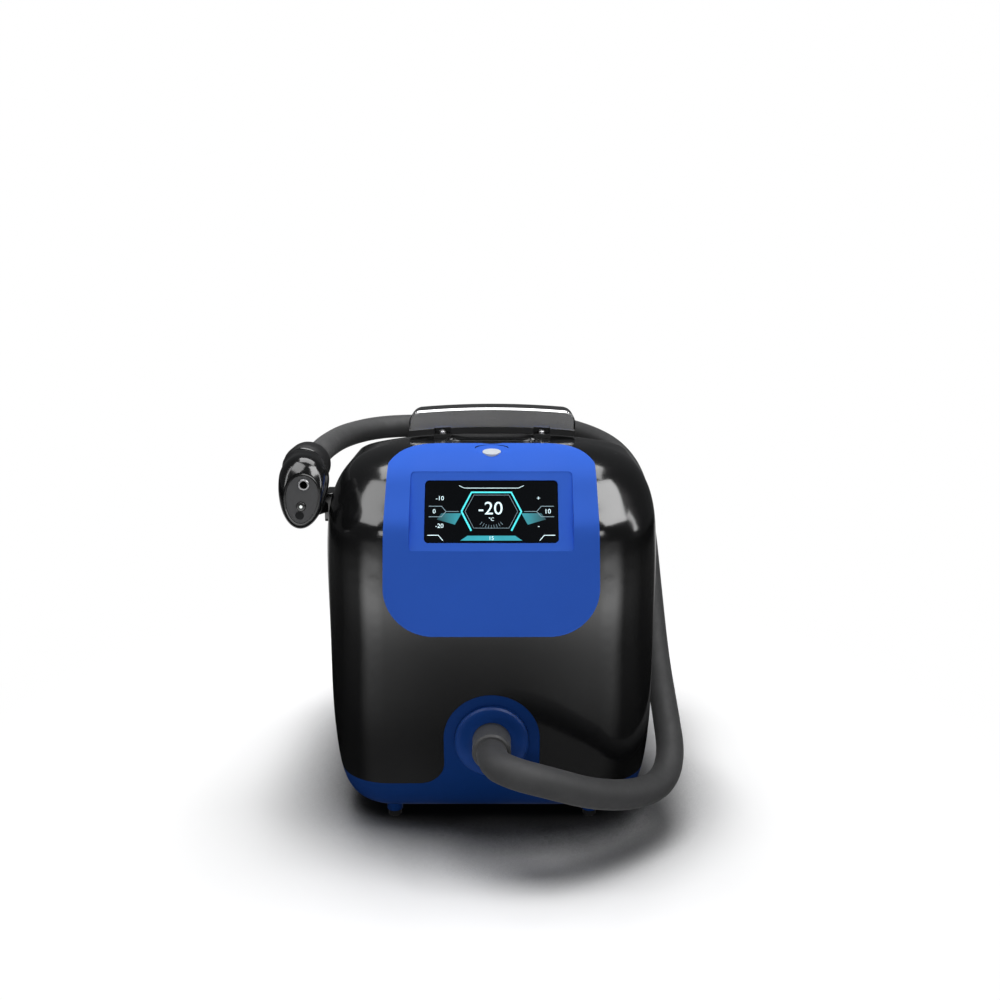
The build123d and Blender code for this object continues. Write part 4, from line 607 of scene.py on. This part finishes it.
# Marks of the scales: how far up the row is, then the words and their places left and right
LEFT_MARK_HEIGHT = 7.0
RIGHT_MARK_HEIGHT = 7.5
scale_marks = (
    (15.0, "-10", -57.0, "+", 52.0),
    (0.0, "0", -63.0, "10", 62.0),
    (-16.5, "-20", -57.0, "-", 52.0),
)
for up, left_words, left_place, right_words, right_place in scale_marks:
    sign(f"left_mark_{int(up)}", left_words, LEFT_MARK_HEIGHT, left_place, up, pale_glow)
    sign(f"right_mark_{int(up)}", right_words, RIGHT_MARK_HEIGHT, right_place, up, pale_glow)
sign("minutes", "15", height=6.0, across=0.0, up=-30.5, material=pale_glow)

# Floor: lit near the object, where its shadow lies and a painted contact shadow darkens it, and plain
# white further out
FLOOR_TONE = (0.86, 0.86, 0.86)
FLOOR_HALF = 6.0
FLOOR_LIT = 0.30
FLOOR_WHITE = 0.80
CONTACT_REACH = 0.15
CONTACT_DARK_AT = 0.40
CONTACT_OPEN_AT = 0.95
CAMERA_GAIN = 1.6
WHITE_LEVEL = 1.0

# Its painted reflection, a card that glows for glossy rays only: how bright it is by distance, from
# ahead and to the side
CARD_DARK_AT = 0.30
CARD_LIT_AT = 1.5
CARD_DARK = 0.05
CARD_LIT = 1.1
CARD_AHEAD = 3.0
CARD_ELSEWHERE = 0.6
AHEAD_FROM = -0.5
AHEAD_TO = -0.1
CARD_ENDS_FROM = 1.6
CARD_ENDS_AT = 2.1
CARD_END_SHARE = 0.12
CARD_SIDES = ((0.06, 0.5), (0.36, 1.0), (0.56, 1.0), (0.78, 0.1))


def floor_finish():
    """A white floor with a painted contact shadow that the camera sees, and a soft glowing card that
    paints the floor's reflection for glossy rays.
    """
    made = Finish("floor_white", FLOOR_TONE, 0.6)
    rays = made.node("ShaderNodeLightPath").outputs
    length = made.node("ShaderNodeVectorMath", operation="LENGTH")
    made.join(made.place, length.inputs[0])
    reach = length.outputs["Value"]

    # Tone, with a painted contact shadow that darkens it close to the object, and brightened for the
    # camera
    tone = made.tones(made.noise(scale=2.0), FLOOR_TONE, (0.85, 0.85, 0.855))
    open_sky = made.node("ShaderNodeAmbientOcclusion")
    open_sky.inputs["Distance"].default_value = CONTACT_REACH
    painted_contact_shadow = made.spread(open_sky.outputs["AO"], 0.0, 1.0, CONTACT_DARK_AT, CONTACT_OPEN_AT)
    seen_gain = made.spread(rays["Is Camera Ray"], 1.0, CAMERA_GAIN, at_low=0.0, at_high=1.0)
    lit = made.node("ShaderNodeVectorMath", operation="SCALE")
    made.join(tone, lit.inputs[0])
    made.join(made.math("MULTIPLY", painted_contact_shadow, seen_gain), lit.inputs["Scale"])
    made.colour(lit.outputs[0])

    # Glowing card that glossy rays meet, a painted reflection: dark under the object as painted shade,
    # brightest ahead of it
    by_distance = made.spread(reach, CARD_DARK, CARD_LIT, CARD_DARK_AT, CARD_LIT_AT, "SMOOTHSTEP")
    places = made.axes()
    aside_share = made.math("DIVIDE", made.math("ABSOLUTE", places["X"]), reach)
    side_stops = [(share, (level, level, level)) for share, level in CARD_SIDES]
    level = made.math("MULTIPLY", by_distance, made.ramp(aside_share, side_stops, "EASE"))
    ahead_share = made.math("DIVIDE", places["Y"], reach)
    ahead = made.spread(ahead_share, CARD_AHEAD, CARD_ELSEWHERE, AHEAD_FROM, AHEAD_TO)
    fading = made.spread(reach, 1.0, CARD_END_SHARE, CARD_ENDS_FROM, CARD_ENDS_AT)
    card = made.node("ShaderNodeEmission")
    strength = made.math("MULTIPLY", made.math("MULTIPLY", level, ahead), fading)
    made.join(strength, card.inputs["Strength"])
    with_card = made.mix(rays["Is Glossy Ray"], made.shader.outputs[0], card.outputs[0])

    # Plain white for the camera further out
    white = made.node("ShaderNodeEmission")
    white.inputs["Strength"].default_value = WHITE_LEVEL
    fade = made.spread(reach, 0.0, 1.0, FLOOR_LIT, FLOOR_WHITE, "SMOOTHSTEP")
    seen_white = made.math("MULTIPLY", rays["Is Camera Ray"], fade)
    surface = made.tree.nodes["Material Output"].inputs["Surface"]
    made.join(made.mix(seen_white, with_card, white.outputs[0]), surface)
    return made.material


work = bmesh.new()
bmesh.ops.create_grid(work, x_segments=8, y_segments=8, size=FLOOR_HALF)
floor_mesh = bpy.data.meshes.new("floor")
work.to_mesh(floor_mesh)
work.free()
floor = bpy.data.objects.new("floor", floor_mesh)
floor_mesh.materials.append(floor_finish())
bpy.context.scene.collection.objects.link(floor)

# Backdrop: white where the camera looks past the object, and a dim grey studio otherwise
STUDIO_TONE = (0.80, 0.81, 0.83, 1.0)
STUDIO_LEVEL = 0.08
world = bpy.data.worlds.new("studio")
bpy.context.scene.world = world
world.use_nodes = True
sky = world.node_tree
studio = sky.nodes["Background"]
studio.inputs["Color"].default_value = STUDIO_TONE
studio.inputs["Strength"].default_value = STUDIO_LEVEL
backdrop = sky.nodes.new("ShaderNodeBackground")
backdrop.inputs["Color"].default_value = (1.0, 1.0, 1.0, 1.0)
sky_rays = sky.nodes.new("ShaderNodeLightPath")
sky_mix = sky.nodes.new("ShaderNodeMixShader")
sky.links.new(sky_rays.outputs["Is Camera Ray"], sky_mix.inputs[0])
sky.links.new(studio.outputs[0], sky_mix.inputs[1])
sky.links.new(backdrop.outputs[0], sky_mix.inputs[2])
sky.links.new(sky_mix.outputs[0], sky.nodes["World Output"].inputs["Surface"])

# Lamps: soft boxes round the object, that look at its middle unless a target is given
MIDDLE = (0.0, 0.0, 0.25)


def lamp(name, place, size, energy, target=MIDDLE, lights=True, mirrored=True):
    """A soft box that looks at a point, and may be left out of the light or of reflections."""
    data = bpy.data.lights.new(name, "AREA")
    data.shape = "RECTANGLE"
    data.size, data.size_y = size
    data.energy = energy
    made = bpy.data.objects.new(name, data)
    made.location = place
    made.rotation_euler = (Vector(target) - Vector(place)).to_track_quat("-Z", "Y").to_euler()
    made.visible_diffuse = lights
    made.visible_glossy = mirrored
    bpy.context.scene.collection.objects.link(made)


lamp("overhead", (0.0, 0.08, 1.9), size=(1.5, 1.1), energy=29.0, target=(0.0, 0.03, 0.0))
lamp("left_strip", (-2.03, -0.54, 1.2), size=(0.22, 1.4), energy=5.0, lights=False)
lamp("right_strip", (2.03, -0.54, 1.2), size=(0.30, 1.4), energy=9.0, lights=False)
lamp("front_fill", (0.0, -2.3, 0.85), size=(1.2, 0.42), energy=9.5)
lamp("rear_fill", (0.0, 2.3, 1.2), size=(2.6, 0.7), energy=16.0, mirrored=False)
lamp("left_card", (-0.91, -0.91, 1.78), size=(1.31, 0.85), energy=17.0, lights=False)
lamp("right_card", (0.91, -0.91, 1.78), size=(1.31, 0.85), energy=31.0, lights=False)

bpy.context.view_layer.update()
